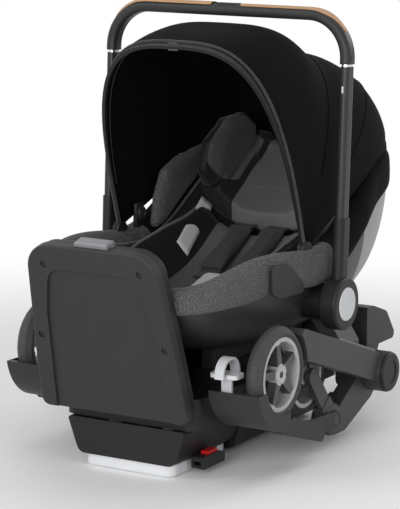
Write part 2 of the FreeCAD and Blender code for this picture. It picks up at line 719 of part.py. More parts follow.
def buckle():
    body = plate_z([(-21, -26), (21, -26), (17, 22), (-17, 22)], 7, -7, 7)
    body = body.cut(box(-9 - SLIP, 9 + SLIP, -16 - SLIP, 4 + SLIP, 2.5, 9))
    return buckle_place(body)


def buckle_button():
    return buckle_place(plate_z([(-9, -16), (9, -16), (9, 4), (-9, 4)], 2, 6.5, 9.5))


def belt_guides():
    outline = [(-165, 303), (-164, 262), (-141, 252), (-72, 249), (-72, 262), (-116, 297)]
    plate = plate_x(outline, 6, BELT_GUIDE_X, BELT_GUIDE_X + 3.3)
    return [plate, mirrored(plate)]


# ---------------------------------------------------------------- carry handle
def on_handle(shape):
    """From the upright arm frame (origin at the pivot) to the row frame, leaned back at rest."""
    result = shape.copy()
    result.rotate(HERE, X_AXIS, -math.degrees(HANDLE_LEAN))
    result.translate(V(0, HANDLE_Y, HANDLE_Z))
    return result


def oval_post(x, width, depth, z0, z1):
    """Upright bar of oval section centred on x."""
    half_w = width / 2
    half_d = depth / 2
    points = [(x - half_w, -half_d), (x + half_w, -half_d), (x + half_w, half_d), (x - half_w, half_d)]
    return plate_z(points, half_w * 0.92, z0, z1)


def handle_mount():
    body = disc_x(HANDLE_Y, HANDLE_Z, 27, 140, HUB_IN_X - GAP)
    body = body.cut(bucket(0, 0))
    pin = disc_x(HANDLE_Y, HANDLE_Z, PIVOT_RADIUS, HUB_IN_X - 2, HUB_OUT_X - 9)
    return largest(body.fuse(pin).removeSplitter())


def handle_hub():
    hub = rod(V(HUB_IN_X, 0, 0), X_AXIS, HUB_RADIUS, HUB_OUT_X - HUB_IN_X)
    rims = [edge for edge in hub.Edges if edge.Length > HUB_RADIUS * 6]
    hub = hub.makeFillet(4, rims)
    sleeve = oval_post(HANDLE_HALF, SLEEVE_WIDTH, SLEEVE_DEPTH, 20, SLEEVE_TOP)
    body = hub.fuse(sleeve)
    channel = oval_post(HANDLE_HALF, TUBE_WIDTH + 2 * RUNNING, TUBE_DEPTH + 2 * RUNNING, TUBE_FOOT - 1,
                        SLEEVE_TOP + 1)
    body = body.cut(channel)
    body = body.cut(rod(V(HUB_IN_X - 1, 0, 0), X_AXIS, PIVOT_RADIUS + RUNNING, HUB_OUT_X - 9 - HUB_IN_X + 1.6))
    body = body.cut(rod(V(HUB_OUT_X - 7, 0, 0), X_AXIS, BUTTON_RADIUS + SLIP, 10))
    return on_handle(body.removeSplitter())


def hub_button():
    body = rod(V(HUB_OUT_X - 2.6, 0, 0), X_AXIS, BUTTON_RADIUS, 4)
    outer = [edge for edge in body.Edges if edge.BoundBox.XMin > HUB_OUT_X + 1]
    return on_handle(body.makeFillet(1.5, outer))


def lower_tube():
    body = oval_post(HANDLE_HALF, TUBE_WIDTH, TUBE_DEPTH, TUBE_FOOT, TUBE_TOP)
    inner = oval_post(HANDLE_HALF, TUBE_WIDTH - 2 * TUBE_WALL, TUBE_DEPTH - 2 * TUBE_WALL, TUBE_FOOT - 1,
                      TUBE_TOP + 1)
    return on_handle(body.cut(inner))


def upper_tubes():
    width = TUBE_WIDTH - 2 * TUBE_WALL - 2 * RUNNING
    depth = TUBE_DEPTH - 2 * TUBE_WALL - 2 * RUNNING
    body = on_handle(oval_post(HANDLE_HALF, width, depth, INNER_FOOT, INNER_TOP))
    return [body, mirrored(body)]


def grip_line():
    """Middle line of the grip: up one arm, over the corners and down the other."""
    foot = TUBE_TOP + RING_GAP
    top = GRIP_TOP - GRIP_MIDDLE / 2
    half = HANDLE_HALF
    r = GRIP_CORNER
    s = r * math.sqrt(0.5)
    corner_z = top - r
    right = Part.LineSegment(V(half, 0, foot), V(half, 0, corner_z)).toShape()
    bend_r = Part.Arc(V(half, 0, corner_z), V(half - r + s, 0, corner_z + s), V(half - r, 0, top)).toShape()
    across = Part.LineSegment(V(half - r, 0, top), V(-half + r, 0, top)).toShape()
    bend_l = Part.Arc(V(-half + r, 0, top), V(-half + r - s, 0, corner_z + s), V(-half, 0, corner_z)).toShape()
    left = Part.LineSegment(V(-half, 0, corner_z), V(-half, 0, foot)).toShape()
    return Part.Wire([right, bend_r, across, bend_l, left])


def grip_sweep(width, depth, shift):
    """Sweep an oval along the grip's line; shift moves the section outwards."""
    foot = TUBE_TOP + RING_GAP
    half_w = width / 2
    half_d = depth / 2
    x = HANDLE_HALF + shift
    points = [(x - half_w, -half_d), (x + half_w, -half_d), (x + half_w, half_d), (x - half_w, half_d)]
    section = rounded_wire(points, half_w * 0.85, lambda p: V(p.x, p.y, foot))
    return grip_line().makePipeShell([section], True, False)


def grip_body():
    body = grip_sweep(GRIP_WIDTH, GRIP_DEPTH, 0)
    width = TUBE_WIDTH - 2 * TUBE_WALL - 2 * RUNNING
    depth = TUBE_DEPTH - 2 * TUBE_WALL - 2 * RUNNING
    for x in (HANDLE_HALF, -HANDLE_HALF):
        body = body.cut(oval_post(x, width, depth, TUBE_TOP, INNER_TOP))
    return body


def grip_button_well(extra):
    high = GRIP_TOP - GRIP_MIDDLE / 2 + GRIP_WIDTH / 2
    half = BUTTON_HALF + extra
    return box(-half, half, -7 - extra, 7 + extra, high - 5 - (BUTTON_PRESS if extra else 0), high + 2.2)


def grip():
    return on_handle(grip_body().cut(grip_button_well(SLIP)))


def grip_button():
    return on_handle(grip_button_well(0))


def grip_trim():
    """Two strips along the top of the grip, left and right of its release button."""
    high = GRIP_TOP - GRIP_MIDDLE / 2 + GRIP_WIDTH / 2
    strips = []
    for side in (-1, 1):
        near = side * (BUTTON_HALF + 5)
        far = side * (HANDLE_HALF - GRIP_CORNER + 4)
        x0, x1 = min(near, far), max(near, far)
        strip = box(x0, x1, -TRIM_DEPTH / 2, TRIM_DEPTH / 2, high, high + TRIM_THICK)
        edges = [edge for edge in strip.Edges if edge.BoundBox.ZMin > high + TRIM_THICK - 0.1]
        strips.append(on_handle(strip.makeFillet(1.8, edges)))
    return strips


# ---------------------------------------------------------------- canopy
def arch_points(angle, height, half, square, inset, foot):
    """Points of one arch, from the right foot to the left, in the plane leaned forward by angle."""
    lean = math.radians(angle)
    high = height - inset
    wide = half - inset
    start = math.asin(min(1.0, (foot / high)) ** (square / 2))
    steps = 16
    points = []
    for i in range(steps + 1):
        t = start + (math.pi - 2 * start) * i / steps
        c = math.cos(t)
        x = wide * math.copysign(abs(c) ** (2 / square), c)
        r = high * math.sin(t) ** (2 / square)
        points.append(V(x, CANOPY_Y - r * math.sin(lean), CANOPY_Z + r * math.cos(lean)))
    return points


def arch_wire(arch, thick, foot):
    outer = arch_points(*arch, 0, foot)
    inner = arch_points(*arch, thick, foot)
    inner.reverse()
    over = Part.BSplineCurve()
    over.interpolate(outer)
    under = Part.BSplineCurve()
    under.interpolate(inner)
    return Part.Wire([over.toShape(), Part.LineSegment(outer[-1], inner[0]).toShape(), under.toShape(),
                      Part.LineSegment(inner[-1], outer[0]).toShape()])


def canopy_sheet(arches, thick):
    return Part.makeLoft([arch_wire(arch, thick, CANOPY_FOOT) for arch in arches], True, False)


def canopy_bow(arch, half_angle, thick):
    """Flat bow under the fabric, with a flattened boss on each pivot."""
    angle, height, half, square = arch
    sides = [(angle - half_angle, height, half, square), (angle + half_angle, height, half, square)]
    return Part.makeLoft([arch_wire(side, thick, 10) for side in sides], True, False)


def canopy_bow_front():
    arch = (BOW_FRONT[0] + 1.6, BOW_FRONT[1], BOW_FRONT[2], BOW_FRONT[3])
    body = canopy_bow(arch, 0.9, BOW_THICK)
    for side in (-1, 1):
        boss = disc_x(CANOPY_Y, CANOPY_Z, BOSS_RADIUS, CANOPY_HALF - BOW_THICK, CANOPY_HALF)
        boss = boss if side > 0 else mirrored(boss)
        body = body.fuse(boss)
    hole = disc_x(CANOPY_Y, CANOPY_Z, 4 + RUNNING, -CANOPY_HALF - 1, CANOPY_HALF + 1)
    return body.cut(hole)


def canopy_pivots():
    """Ears on the shell that carry the canopy, with their pins."""
    ear = plate_x([(CANOPY_Y - 16, 262), (CANOPY_Y + 16, 262), (CANOPY_Y + 12, CANOPY_Z + 12),
                   (CANOPY_Y - 12, CANOPY_Z + 12)], [0, 0, 11, 11], 160.4, 164.8)
    ear = ear.cut(bucket(0, 0))
    pin = disc_x(CANOPY_Y, CANOPY_Z, 4, CANOPY_HALF - BOW_THICK - 2, 162)
    body = ear.fuse(pin)
    return [body, mirrored(body)]


# ---------------------------------------------------------------- stroller chassis
def beam():
    body = bar_between(BEAM_FRONT, (KNEE_Y, KNEE_Z + BEAM_LIFT), BEAM_DEPTH, 8, BEAM_IN_X, BEAM_OUT_X)
    body = body.fuse(disc_x(KNEE_Y, KNEE_Z, KNEE_RADIUS, BEAM_IN_X, KNEE_OUT_X - 5))
    body = body.cut(disc_x(WHEEL_Y, WHEEL_Z, BEAM_CLEAR, BEAM_IN_X - 1, BEAM_OUT_X + 1))
    bracket = plate_y([(BEAM_IN_X, 121), (BEAM_IN_X + 2, 121), (BEAM_IN_X + 2, 146), (152, 200), (128, 185)],
                      0, 48, 100)
    body = body.fuse(bracket.cut(bucket(0, 0)))
    body = body.cut(disc_x(KNEE_Y, KNEE_Z, KNEE_PIN + RUNNING, BEAM_IN_X - 1, KNEE_OUT_X - 9))
    return largest(body.removeSplitter())


def knee_cap():
    body = disc_x(KNEE_Y, KNEE_Z, KNEE_RADIUS - 1, KNEE_OUT_X - 5, KNEE_OUT_X)
    outer = [edge for edge in body.Edges if edge.BoundBox.XMin > KNEE_OUT_X - 0.1]
    body = body.makeFillet(3, outer)
    return body.cut(disc_x(KNEE_Y, KNEE_Z, 18, KNEE_OUT_X - 1.2, KNEE_OUT_X + 1))


def beam_strip():
    front_y, front_z = BEAM_FRONT
    slope = (KNEE_Z + BEAM_LIFT - front_z) / (KNEE_Y - front_y)
    lift = (BEAM_DEPTH + STRIP_THICK) / 2 * math.hypot(1, slope)
    ends = [(y, front_z + slope * (y - front_y) + lift) for y in (STRIP_FROM_Y, STRIP_TO_Y)]
    return bar_between(*ends, STRIP_THICK, 0.8, BEAM_IN_X + 3, BEAM_OUT_X - 1.5)


def rear_housing():
    wide = plate_x([(136, 124), (136, 187), (157, 187), (202, 171), (236, 124)], [3, 3, 12, 16, 8], -182, 182)
    body = wide.cut(bucket(-GAP, 0))
    for side in (1, -1):
        cheek = plate_x([(118, 68), (118, 130), (232, 130), (214, 98), (182, 62), (140, 58)],
                        [14, 2, 2, 20, 20, 20], 138, LEG_IN_X - GAP)
        cheek = cheek if side > 0 else mirrored(cheek)
        body = body.fuse(cheek)
    return body.cut(disc_x(KNEE_Y, KNEE_Z, KNEE_PIN + RUNNING, -170, 170)).removeSplitter()


def leg():
    outline = [(150, 117), (128, 104), (103, 87), (28, 44), (24, 14), (64, 13), (150, 47), (178, 72), (178, 106)]
    body = plate_x(outline, [20, 20, 20, 4, 2, 12, 24, 24, 24], LEG_IN_X, LEG_OUT_X)
    body = body.cut(disc_x(ELBOW_Y, ELBOW_Z, ELBOW_RADIUS + GAP, LEG_IN_X - 1, LEG_OUT_X + 4))
    cheek = bar_between((84, 56), (ELBOW_Y, ELBOW_Z), 30, 14, LEG_IN_X - CHEEK_THICK - GAP, LEG_IN_X - GAP)
    tie = bar_between((90, 58), (62, 47), 24, 6, LEG_IN_X - 2, LEG_IN_X + 2)
    body = body.fuse([cheek, tie, disc_x(ELBOW_Y, ELBOW_Z, 15, LEG_IN_X - CHEEK_THICK - GAP, LEG_IN_X - GAP)])
    body = body.fuse(disc_x(ELBOW_Y, ELBOW_Z, ELBOW_PIN, LEG_IN_X - CHEEK_THICK, BAR_IN_X - 1))
    body = body.fuse(disc_x(KNEE_Y, KNEE_Z, KNEE_PIN, LEG_IN_X - 16, KNEE_OUT_X - 10))
    return body.removeSplitter()


def caster_fork():
    away = V(CASTER_Y - ELBOW_Y, CASTER_Z - ELBOW_Z, 0)
    reach = away.Length
    away.normalize()
    neck = (ELBOW_Y + away.x * 38, ELBOW_Z + away.y * 38)
    arm_foot = (ELBOW_Y + away.x * 24, ELBOW_Z + away.y * 24)
    knuckle = disc_x(ELBOW_Y, ELBOW_Z, ELBOW_RADIUS, LEG_IN_X, LEG_OUT_X + 3)
    rims = [edge for edge in knuckle.Edges if edge.Length > ELBOW_RADIUS * 6]
    body = knuckle.makeFillet(6, rims)
    body = body.fuse(bar_between((ELBOW_Y, ELBOW_Z), neck, 30, 4, LEG_IN_X + 8, LEG_OUT_X + 1))
    arm = bar_between(arm_foot, (CASTER_Y + away.x * 13, CASTER_Z + away.y * 13), 25, 12,
                      CASTER_OUT_X + 2.5, CASTER_OUT_X + 2.5 + FORK_THICK)
    body = body.fuse(arm)
    body = body.fuse(disc_x(CASTER_Y, CASTER_Z, AXLE_RADIUS, CASTER_IN_X - 1, CASTER_OUT_X + 4))
    body = body.cut(disc_x(ELBOW_Y, ELBOW_Z, ELBOW_PIN + RUNNING, LEG_IN_X - 1, LEG_OUT_X + 6))
    return body.removeSplitter()


def tyre(y, z, radius, bed, x0, x1):
    """Rounded tyre around a rim bed."""
    crown = 9
    profile = [(x0 + 3, bed), (x0, bed + 4), (x0, radius - crown), (x0 + crown, radius), (x1 - crown, radius),
               (x1, radius - crown), (x1, bed + 4), (x1 - 3, bed)]
    wire = rounded_wire(profile, [0, 2, 6, 8, 8, 6, 2, 0], lambda p: V(p.x, y, z + p.y))
    return Part.Face(wire).revolve(V(0, y, z), X_AXIS, 360)


def wheel_rim(y, z, bed, x0, x1, spokes, lip):
    """Rim ring, hub and spokes on a bore that runs on the axle."""
    ring = disc_x(y, z, bed, x0 + 3, x1 - 3).cut(disc_x(y, z, bed - lip, x0, x1))
    hub_radius = AXLE_RADIUS + 7
    body = ring.fuse(disc_x(y, z, hub_radius, x0 + 3, x1 - 3))
    middle = (x0 + x1) / 2
    for i in range(spokes):
        spoke = plate_x([(y - 7, z + hub_radius - 3), (y + 7, z + hub_radius - 3), (y + 4.5, z + bed - lip / 2),
                         (y - 4.5, z + bed - lip / 2)], 0, middle - 4, x1 - 4)
        body = body.fuse(turned(spoke, y, z, 360 * i / spokes + 10))
    return body.cut(disc_x(y, z, AXLE_RADIUS + RUNNING, x0, x1)).removeSplitter()


def wheel_bar():
    room_in = CASTER_OUT_X + 1
    ring = disc_x(WHEEL_Y, WHEEL_Z, FENDER_RADIUS + FENDER_WALL, FENDER_IN_X, BAR_OUT_X + 3)
    ring = ring.cut(disc_x(WHEEL_Y, WHEEL_Z, FENDER_RADIUS, FENDER_IN_X - 1, room_in))
    ring = ring.cut(disc_x(WHEEL_Y, WHEEL_Z, FENDER_RADIUS - 4, room_in, WHEEL_OUT_X + 2))
    ring = ring.cut(disc_x(WHEEL_Y, WHEEL_Z, WHEEL_RIM + 3, WHEEL_OUT_X, BAR_OUT_X + 4))
    body = ring.common(box(FENDER_IN_X, BAR_OUT_X + 3, WHEEL_Y - 110, WHEEL_Y + 14, 40, WHEEL_Z - 15))
    bar = bar_between((BAR_TIP_Y, 39), (WHEEL_Y - 6, WHEEL_Z - 71), BAR_DEPTH, 9, BAR_IN_X, BAR_OUT_X)
    bar = bar.cut(disc_x(WHEEL_Y, WHEEL_Z, FENDER_RADIUS - 4, BAR_IN_X - 1, WHEEL_OUT_X + 2))
    body = body.fuse(bar)
    lug = bar_between((ELBOW_Y + 12, ELBOW_Z), (BAR_TIP_Y - 24, 45), 26, 12.5, BAR_IN_X - LUG_THICK - 0.6,
                      BAR_IN_X - 0.6)
    tie = bar_between((BAR_TIP_Y - 2, 39), (BAR_TIP_Y - 24, 45), 20, 6, BAR_IN_X - 2, BAR_IN_X + 2)
    body = body.fuse([lug, tie])
    body = body.cut(disc_x(ELBOW_Y, ELBOW_Z, ELBOW_PIN + RUNNING, BAR_IN_X - 6, BAR_IN_X + 1))
    strut = bar_between((WHEEL_Y, WHEEL_Z), (WHEEL_Y, WHEEL_Z - FENDER_RADIUS - 1), 26, 0, room_in,
                        room_in + 4)
    body = body.fuse([strut, disc_x(WHEEL_Y, WHEEL_Z, 13, room_in, room_in + 4)])
    body = body.fuse(disc_x(WHEEL_Y, WHEEL_Z, AXLE_RADIUS, room_in, WHEEL_OUT_X - 3.5))
    for x in (PEDAL_EAR_X, PEDAL_EAR_X + PEDAL_EAR_GAP):
        ear = plate_x([(PEDAL_Y - 7, PEDAL_Z - 12), (PEDAL_Y + 8, PEDAL_Z - 6), (PEDAL_Y + 6, PEDAL_Z + 6),
                       (PEDAL_Y - 6, PEDAL_Z + 6), (PEDAL_Y - 8, PEDAL_Z)], 0, x, x + 3)
        body = body.fuse(ear)
    body = body.fuse(disc_x(PEDAL_Y, PEDAL_Z, PEDAL_PIN, PEDAL_EAR_X, PEDAL_EAR_X + PEDAL_EAR_GAP + 3))
    return largest(body.removeSplitter())


def brake_pedal():
    x0 = PEDAL_EAR_X + 3 + GAP
    x1 = PEDAL_EAR_X + PEDAL_EAR_GAP - GAP
    body = disc_x(PEDAL_Y, PEDAL_Z, 5.5, x0, x1)
    body = body.fuse(box(x0 + 1, x1 - 1, PEDAL_Y - 2, PEDAL_Y + 2.5, PEDAL_Z, PEDAL_TOP))
    pad = plate_z([(PEDAL_IN_X, PEDAL_Y - 12), (PEDAL_OUT_X, PEDAL_Y - 12), (PEDAL_OUT_X, PEDAL_Y + 14),
                   (PEDAL_IN_X, PEDAL_Y + 14)], 6, PEDAL_TOP - 5, PEDAL_TOP + 1)
    arch = disc_x(PEDAL_Y + 1, PEDAL_TOP, 24, x0 + 2, x1 - 2).cut(disc_x(PEDAL_Y + 1, PEDAL_TOP, 20.5, 0, 300))
    arch = arch.common(box(0, 300, PEDAL_Y - 40, PEDAL_Y + 40, PEDAL_TOP - 2, 300))
    shelf = box(x0 + 2, x1 - 2, PEDAL_Y - 23, PEDAL_Y + 25, PEDAL_TOP - 4, PEDAL_TOP - 1)
    body = body.fuse([pad, arch, shelf])
    return body.cut(disc_x(PEDAL_Y, PEDAL_Z, PEDAL_PIN + RUNNING, 100, 220)).removeSplitter()


# ---------------------------------------------------------------- everything
os.makedirs("parts", exist_ok=True)
save("recline_foot", recline_foot())
dock = connector_dock()
save("base_pan", base_pan().fuse([dock, mirrored(dock)]).removeSplitter())
save("base_pads", *base_pads())
save("base_shell", base_shell())
save("panel_cover", panel_cover())
save("panel_back", panel_back())
save("panel_screws", *panel_screws())
save("seat_release_tab", seat_release_tab())
save("anchor_connectors", connector(), mirrored(connector()))
save_pair("anchor_button", connector_button())
save("seat_shell", seat_shell())
save("seat_foam", seat_foam())
save("side_bolsters", *side_bolsters())
save("seat_skirt", seat_skirt())
save("body_insert", body_insert())
save("head_support", head_support())
save("harness_straps", *harness_straps())
save("harness_pads", *harness_pads())
save("crotch_strap", crotch_strap())
save("buckle", buckle())
save("buckle_button", buckle_button())
save("belt_guides", *belt_guides())
save_pair("handle_mount", handle_mount())
save_pair("beam", beam())
save("beam_strips", beam_strip(), mirrored(beam_strip()))
save("knee_caps", knee_cap(), mirrored(knee_cap()))
save("rear_housing", rear_housing())
save("canopy_pivots", *canopy_pivots())
rear_dome = canopy_sheet(REAR_ARCHES, CANOPY_THICK)
save("canopy_rear", largest(rear_dome.cut(rim_prism(2 * SKIRT_RISE, False))))
save("canopy_bow_front", canopy_bow_front())
save("canopy_front", canopy_sheet(FRONT_ARCHES, CANOPY_THICK))
save_pair("handle_hub", handle_hub())
save_pair("hub_button", hub_button())
save_pair("lower_tube", lower_tube())
save("upper_tubes", *upper_tubes())
save("grip", grip())
save("grip_trim", *grip_trim())
save("grip_button", grip_button())
save_pair("leg", leg())
save_pair("caster_fork", caster_fork())
save_pair("caster_rim", wheel_rim(CASTER_Y, CASTER_Z, CASTER_RIM, CASTER_IN_X, CASTER_OUT_X, 3, 6))
save_pair("caster_tyre", tyre(CASTER_Y, CASTER_Z, CASTER_RADIUS, CASTER_RIM, CASTER_IN_X, CASTER_OUT_X))
save_pair("wheel_bar", wheel_bar())
save_pair("wheel_rim", wheel_rim(WHEEL_Y, WHEEL_Z, WHEEL_RIM, WHEEL_IN_X, WHEEL_OUT_X, SPOKES, 6))
save_pair("wheel_tyre", tyre(WHEEL_Y, WHEEL_Z, WHEEL_RADIUS, WHEEL_RIM, WHEEL_IN_X, WHEEL_OUT_X))
save_pair("brake_pedal", brake_pedal())
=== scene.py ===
# %% [markdown]
# # An infant car seat, dressed around its frame
# The frame is the finished mechanical model: base, shell, handle, chassis. It never moves here.
# This lesson adds what a camera sees: cloth, padding, seams, leather, grain and light.
# Everything is in metres, feet end towards -Y, head end towards +Y, floor at zero.

# %% load the frame
import json
import math
import bpy
import numpy as np
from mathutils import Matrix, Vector
from mathutils.bvhtree import BVHTree


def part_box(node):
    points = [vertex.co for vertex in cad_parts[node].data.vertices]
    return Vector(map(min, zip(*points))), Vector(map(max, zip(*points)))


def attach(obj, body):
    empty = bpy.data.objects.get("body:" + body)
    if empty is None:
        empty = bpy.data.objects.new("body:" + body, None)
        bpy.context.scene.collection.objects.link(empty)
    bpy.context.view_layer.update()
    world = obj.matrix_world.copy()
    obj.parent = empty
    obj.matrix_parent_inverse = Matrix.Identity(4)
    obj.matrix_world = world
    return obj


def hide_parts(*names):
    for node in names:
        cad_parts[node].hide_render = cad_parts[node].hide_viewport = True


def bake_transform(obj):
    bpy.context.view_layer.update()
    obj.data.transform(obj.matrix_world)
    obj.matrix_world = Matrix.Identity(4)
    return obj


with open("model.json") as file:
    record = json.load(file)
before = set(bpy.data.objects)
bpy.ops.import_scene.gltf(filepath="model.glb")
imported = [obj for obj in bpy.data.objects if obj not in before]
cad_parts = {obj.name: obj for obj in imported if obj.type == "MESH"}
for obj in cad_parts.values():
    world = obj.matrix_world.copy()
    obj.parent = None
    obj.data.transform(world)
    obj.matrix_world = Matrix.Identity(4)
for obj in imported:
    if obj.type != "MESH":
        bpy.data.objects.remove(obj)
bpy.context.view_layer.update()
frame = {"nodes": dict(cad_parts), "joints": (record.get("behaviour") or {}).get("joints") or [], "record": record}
nodes = frame["nodes"]
joints = {joint["name"]: joint for joint in frame["joints"]}

# %% [markdown]
# ## Camera
# A long lens from a little above and to the right keeps the seat's proportions honest.
# The camera looks along one line at a point low in the seat, so no shift is needed.

# %% camera
AZIMUTH = math.radians(30.975)
ELEVATION = math.radians(10.932)
DISTANCE = 3.425
AIM = Vector((0, -0.05315, 0.28285))
towards = Vector((math.sin(AZIMUTH) * math.cos(ELEVATION), -math.cos(AZIMUTH) * math.cos(ELEVATION),
                  math.sin(ELEVATION)))
camera = bpy.data.objects.new("camera", bpy.data.cameras.new("camera"))
camera.data.lens = 164.0
camera.data.sensor_width = 36.0
camera.data.clip_end = 60.0
camera.location = AIM + towards * DISTANCE
camera.rotation_euler = (-towards).to_track_quat("-Z", "Y").to_euler()
bpy.context.scene.collection.objects.link(camera)
bpy.context.scene.camera = camera
bpy.context.scene.view_settings.view_transform = "Standard"

# %% [markdown]
# ## Writing shaders as sums
# A material is easier to read as arithmetic than as a web of nodes. A Signal is one socket:
# adding or multiplying it places a Math node. A Finish is a material; its one method for any
# other node takes the kind, the settings and the inputs.


# %% shader helpers
class Signal:
    """One value in a shader; arithmetic on it adds Math nodes."""

    def __init__(self, finish, socket):
        self.finish = finish
        self.socket = socket

    def math(self, operation, *values):
        return self.finish.node("ShaderNodeMath", {"operation": operation}, dict(enumerate(values)))

    def __add__(self, other):
        return self.math("ADD", self, other)

    def __radd__(self, other):
        return self.math("ADD", other, self)

    def __sub__(self, other):
        return self.math("SUBTRACT", self, other)

    def __rsub__(self, other):
        return self.math("SUBTRACT", other, self)

    def __mul__(self, other):
        return self.math("MULTIPLY", self, other)

    def __rmul__(self, other):
        return self.math("MULTIPLY", other, self)

    def sine(self):
        return self.math("SINE", self)

    def absolute(self):
        return self.math("ABSOLUTE", self)

    def step(self, low, high):
        """0 below low, 1 above high, smooth between."""
        return self.finish.node("ShaderNodeMapRange", {"interpolation_type": "SMOOTHSTEP"},
                                {"Value": self, "From Min": low, "From Max": high})


class Finish:
    """A material with one Principled shader."""

    def __init__(self, name, colour, roughness, **constants):
        self.material = bpy.data.materials.new(name)
        self.material.use_nodes = True
        self.tree = self.material.node_tree
        self.shader = self.tree.nodes["Principled BSDF"]
        self.set(**{"Base Color": (*colour, 1), "Roughness": roughness, **constants})
        self.coordinates = None

    def set(self, **values):
        for name, value in values.items():
            self.feed(self.shader.inputs[name], value)

    def feed(self, socket, value):
        if isinstance(value, Signal):
            self.tree.links.new(value.socket, socket)
        else:
            socket.default_value = value

    def node(self, kind, settings=None, inputs=None, output=0):
        made = self.tree.nodes.new(kind)
        for name, value in (settings or {}).items():
            setattr(made, name, value)
        for name, value in (inputs or {}).items():
            self.feed(made.inputs[name], value)
        return Signal(self, made.outputs[output])

    def place(self):
        """Position on the piece at rest, in metres."""
        if self.coordinates is None:
            self.coordinates = self.node("ShaderNodeTexCoord", output="Object")
        return self.coordinates

    def axes(self):
        split = self.node("ShaderNodeSeparateXYZ", None, {0: self.place()}).socket.node
        return [Signal(self, output) for output in split.outputs]

    def noise(self, scale, detail=3.0, stretch=None):
        vector = self.place()
        if stretch is not None:
            vector = self.node("ShaderNodeVectorMath", {"operation": "MULTIPLY"}, {0: vector, 1: stretch})
        return self.node("ShaderNodeTexNoise", None, {"Vector": vector, "Scale": scale, "Detail": detail})

    def mix(self, mask, first, second):
        return self.node("ShaderNodeMix", {"data_type": "RGBA"}, {0: mask, 6: first, 7: second}, 2)

    def bump(self, height, distance):
        self.set(Normal=self.node("ShaderNodeBump", None, {"Strength": 1.0, "Distance": distance,
                                                           "Height": height}))


def grey(level):
    return (level, level, level, 1)


# %% [markdown]
# ## Moulded plastic, metal and rubber
# Injection-moulded parts have a fine spark-eroded grain, a slow change of gloss where hands and
# fingers rub, and no perfectly even colour. One broad noise and one fine one give all three.

# %% hard finishes
DARK_LIMIT = 0.1
DARK_SPECULAR = 0.22
PALE_SPECULAR = 0.5
PAINT_EDGE = 0.001
# a tyre has this many blocks; their slant and the grooves between them are in radians per metre
TREAD_BLOCKS = 64.0
TREAD_SLANT = 500.0
TREAD_GROOVES = 1300.0
TREAD_DEPTH = 0.0011
# where the shell is moulded in pale grey
PALE_FROM_Y = 0.168
PALE_FROM_Z = 0.180
PALE_TO_Z = 0.346
PALE_EDGE = 0.002


def shades(colour, darker, paler):
    """A darker and a paler version of a colour, to mix between."""
    return [(*[min(1, c * factor) for c in colour], 1) for factor in (darker, paler)]


def moulded(name, colour, roughness, grain=0.00008, size=2600.0):
    """Plastic with a fine grain and slightly uneven gloss."""
    specular = DARK_SPECULAR if max(colour) < DARK_LIMIT else PALE_SPECULAR
    made = Finish(name, colour, roughness, **{"Specular IOR Level": specular})
    cloudy = made.noise(9.0)
    grainy = made.noise(size, 2.0)
    made.set(Roughness=(cloudy - 0.5) * 0.22 + (grainy - 0.5) * 0.1 + roughness)
    made.set(**{"Base Color": made.mix(cloudy, *shades(colour, 0.86, 1.14))})
    made.bump(grainy, grain)
    return made.material


def brushed(name, colour, roughness, metallic):
    """Drawn or painted metal with faint lines along it."""
    made = Finish(name, colour, roughness, Metallic=metallic, **{"Specular IOR Level": 0.25})
    lines = made.noise(60.0, 4.0, (14.0, 14.0, 0.6))
    made.set(Roughness=(lines - 0.5) * 0.16 + roughness)
    made.set(**{"Base Color": made.mix(made.noise(12.0), *shades(colour, 0.9, 1.12))})
    made.bump(lines, 0.00002)
    return made.material


def wheel_face(name, centre_y, centre_z, hub, rim):
    """Pale rim band and cap, dark between them."""
    made = Finish(name, (0.3, 0.3, 0.31), 0.4)
    y, z = made.axes()[1:]
    radius = made.node("ShaderNodeMath", {"operation": "SQRT"},
                       {0: (y - centre_y) * (y - centre_y) + (z - centre_z) * (z - centre_z)})
    pale = radius.step(rim - PAINT_EDGE, rim) + (1 - radius.step(hub, hub + PAINT_EDGE))
    made.set(**{"Base Color": made.mix(pale, grey(0.04), grey(0.46))})
    made.set(Roughness=(made.noise(40.0) - 0.5) * 0.2 + 0.38)
    made.bump(made.noise(2400.0, 2.0), 0.00006)
    return made.material


def tyre_rubber(name, centre_y, centre_z, middle_x):
    """Foam rubber with moulded tread blocks."""
    made = Finish(name, (0.035, 0.035, 0.036), 0.72)
    x, y, z = made.axes()
    turn = made.node("ShaderNodeMath", {"operation": "ARCTAN2"}, {0: z - centre_z, 1: y - centre_y})
    across = x.absolute() - middle_x
    blocks = (turn * TREAD_BLOCKS + across.absolute() * TREAD_SLANT).sine().step(-0.6, -0.2)
    groove = (across.absolute() * TREAD_GROOVES).sine().step(-0.9, -0.5)
    made.set(**{"Base Color": made.mix(made.noise(50.0), grey(0.027), grey(0.05))})
    made.set(Roughness=(made.noise(300.0) - 0.5) * 0.2 + 0.7)
    made.bump(blocks * groove, TREAD_DEPTH)
    return made.material


def shell_plastic():
    """Black seat shell whose head end is moulded in pale grey."""
    made = Finish("shell_two_tone", (0.2, 0.2, 0.2), 0.45)
    y, z = made.axes()[1:]
    behind = y.step(PALE_FROM_Y, PALE_FROM_Y + PALE_EDGE)
    above = z.step(PALE_FROM_Z, PALE_FROM_Z + PALE_EDGE)
    below = 1 - z.step(PALE_TO_Z, PALE_TO_Z + PALE_EDGE)
    tone = made.mix(made.noise(8.0), grey(0.3), grey(0.36))
    made.set(**{"Base Color": made.mix(behind * above * below, grey(0.02), tone)})
    grainy = made.noise(2200.0, 2.0)
    made.set(Roughness=(grainy - 0.5) * 0.15 + 0.46)
    made.bump(grainy, 0.00008)
    return made.material


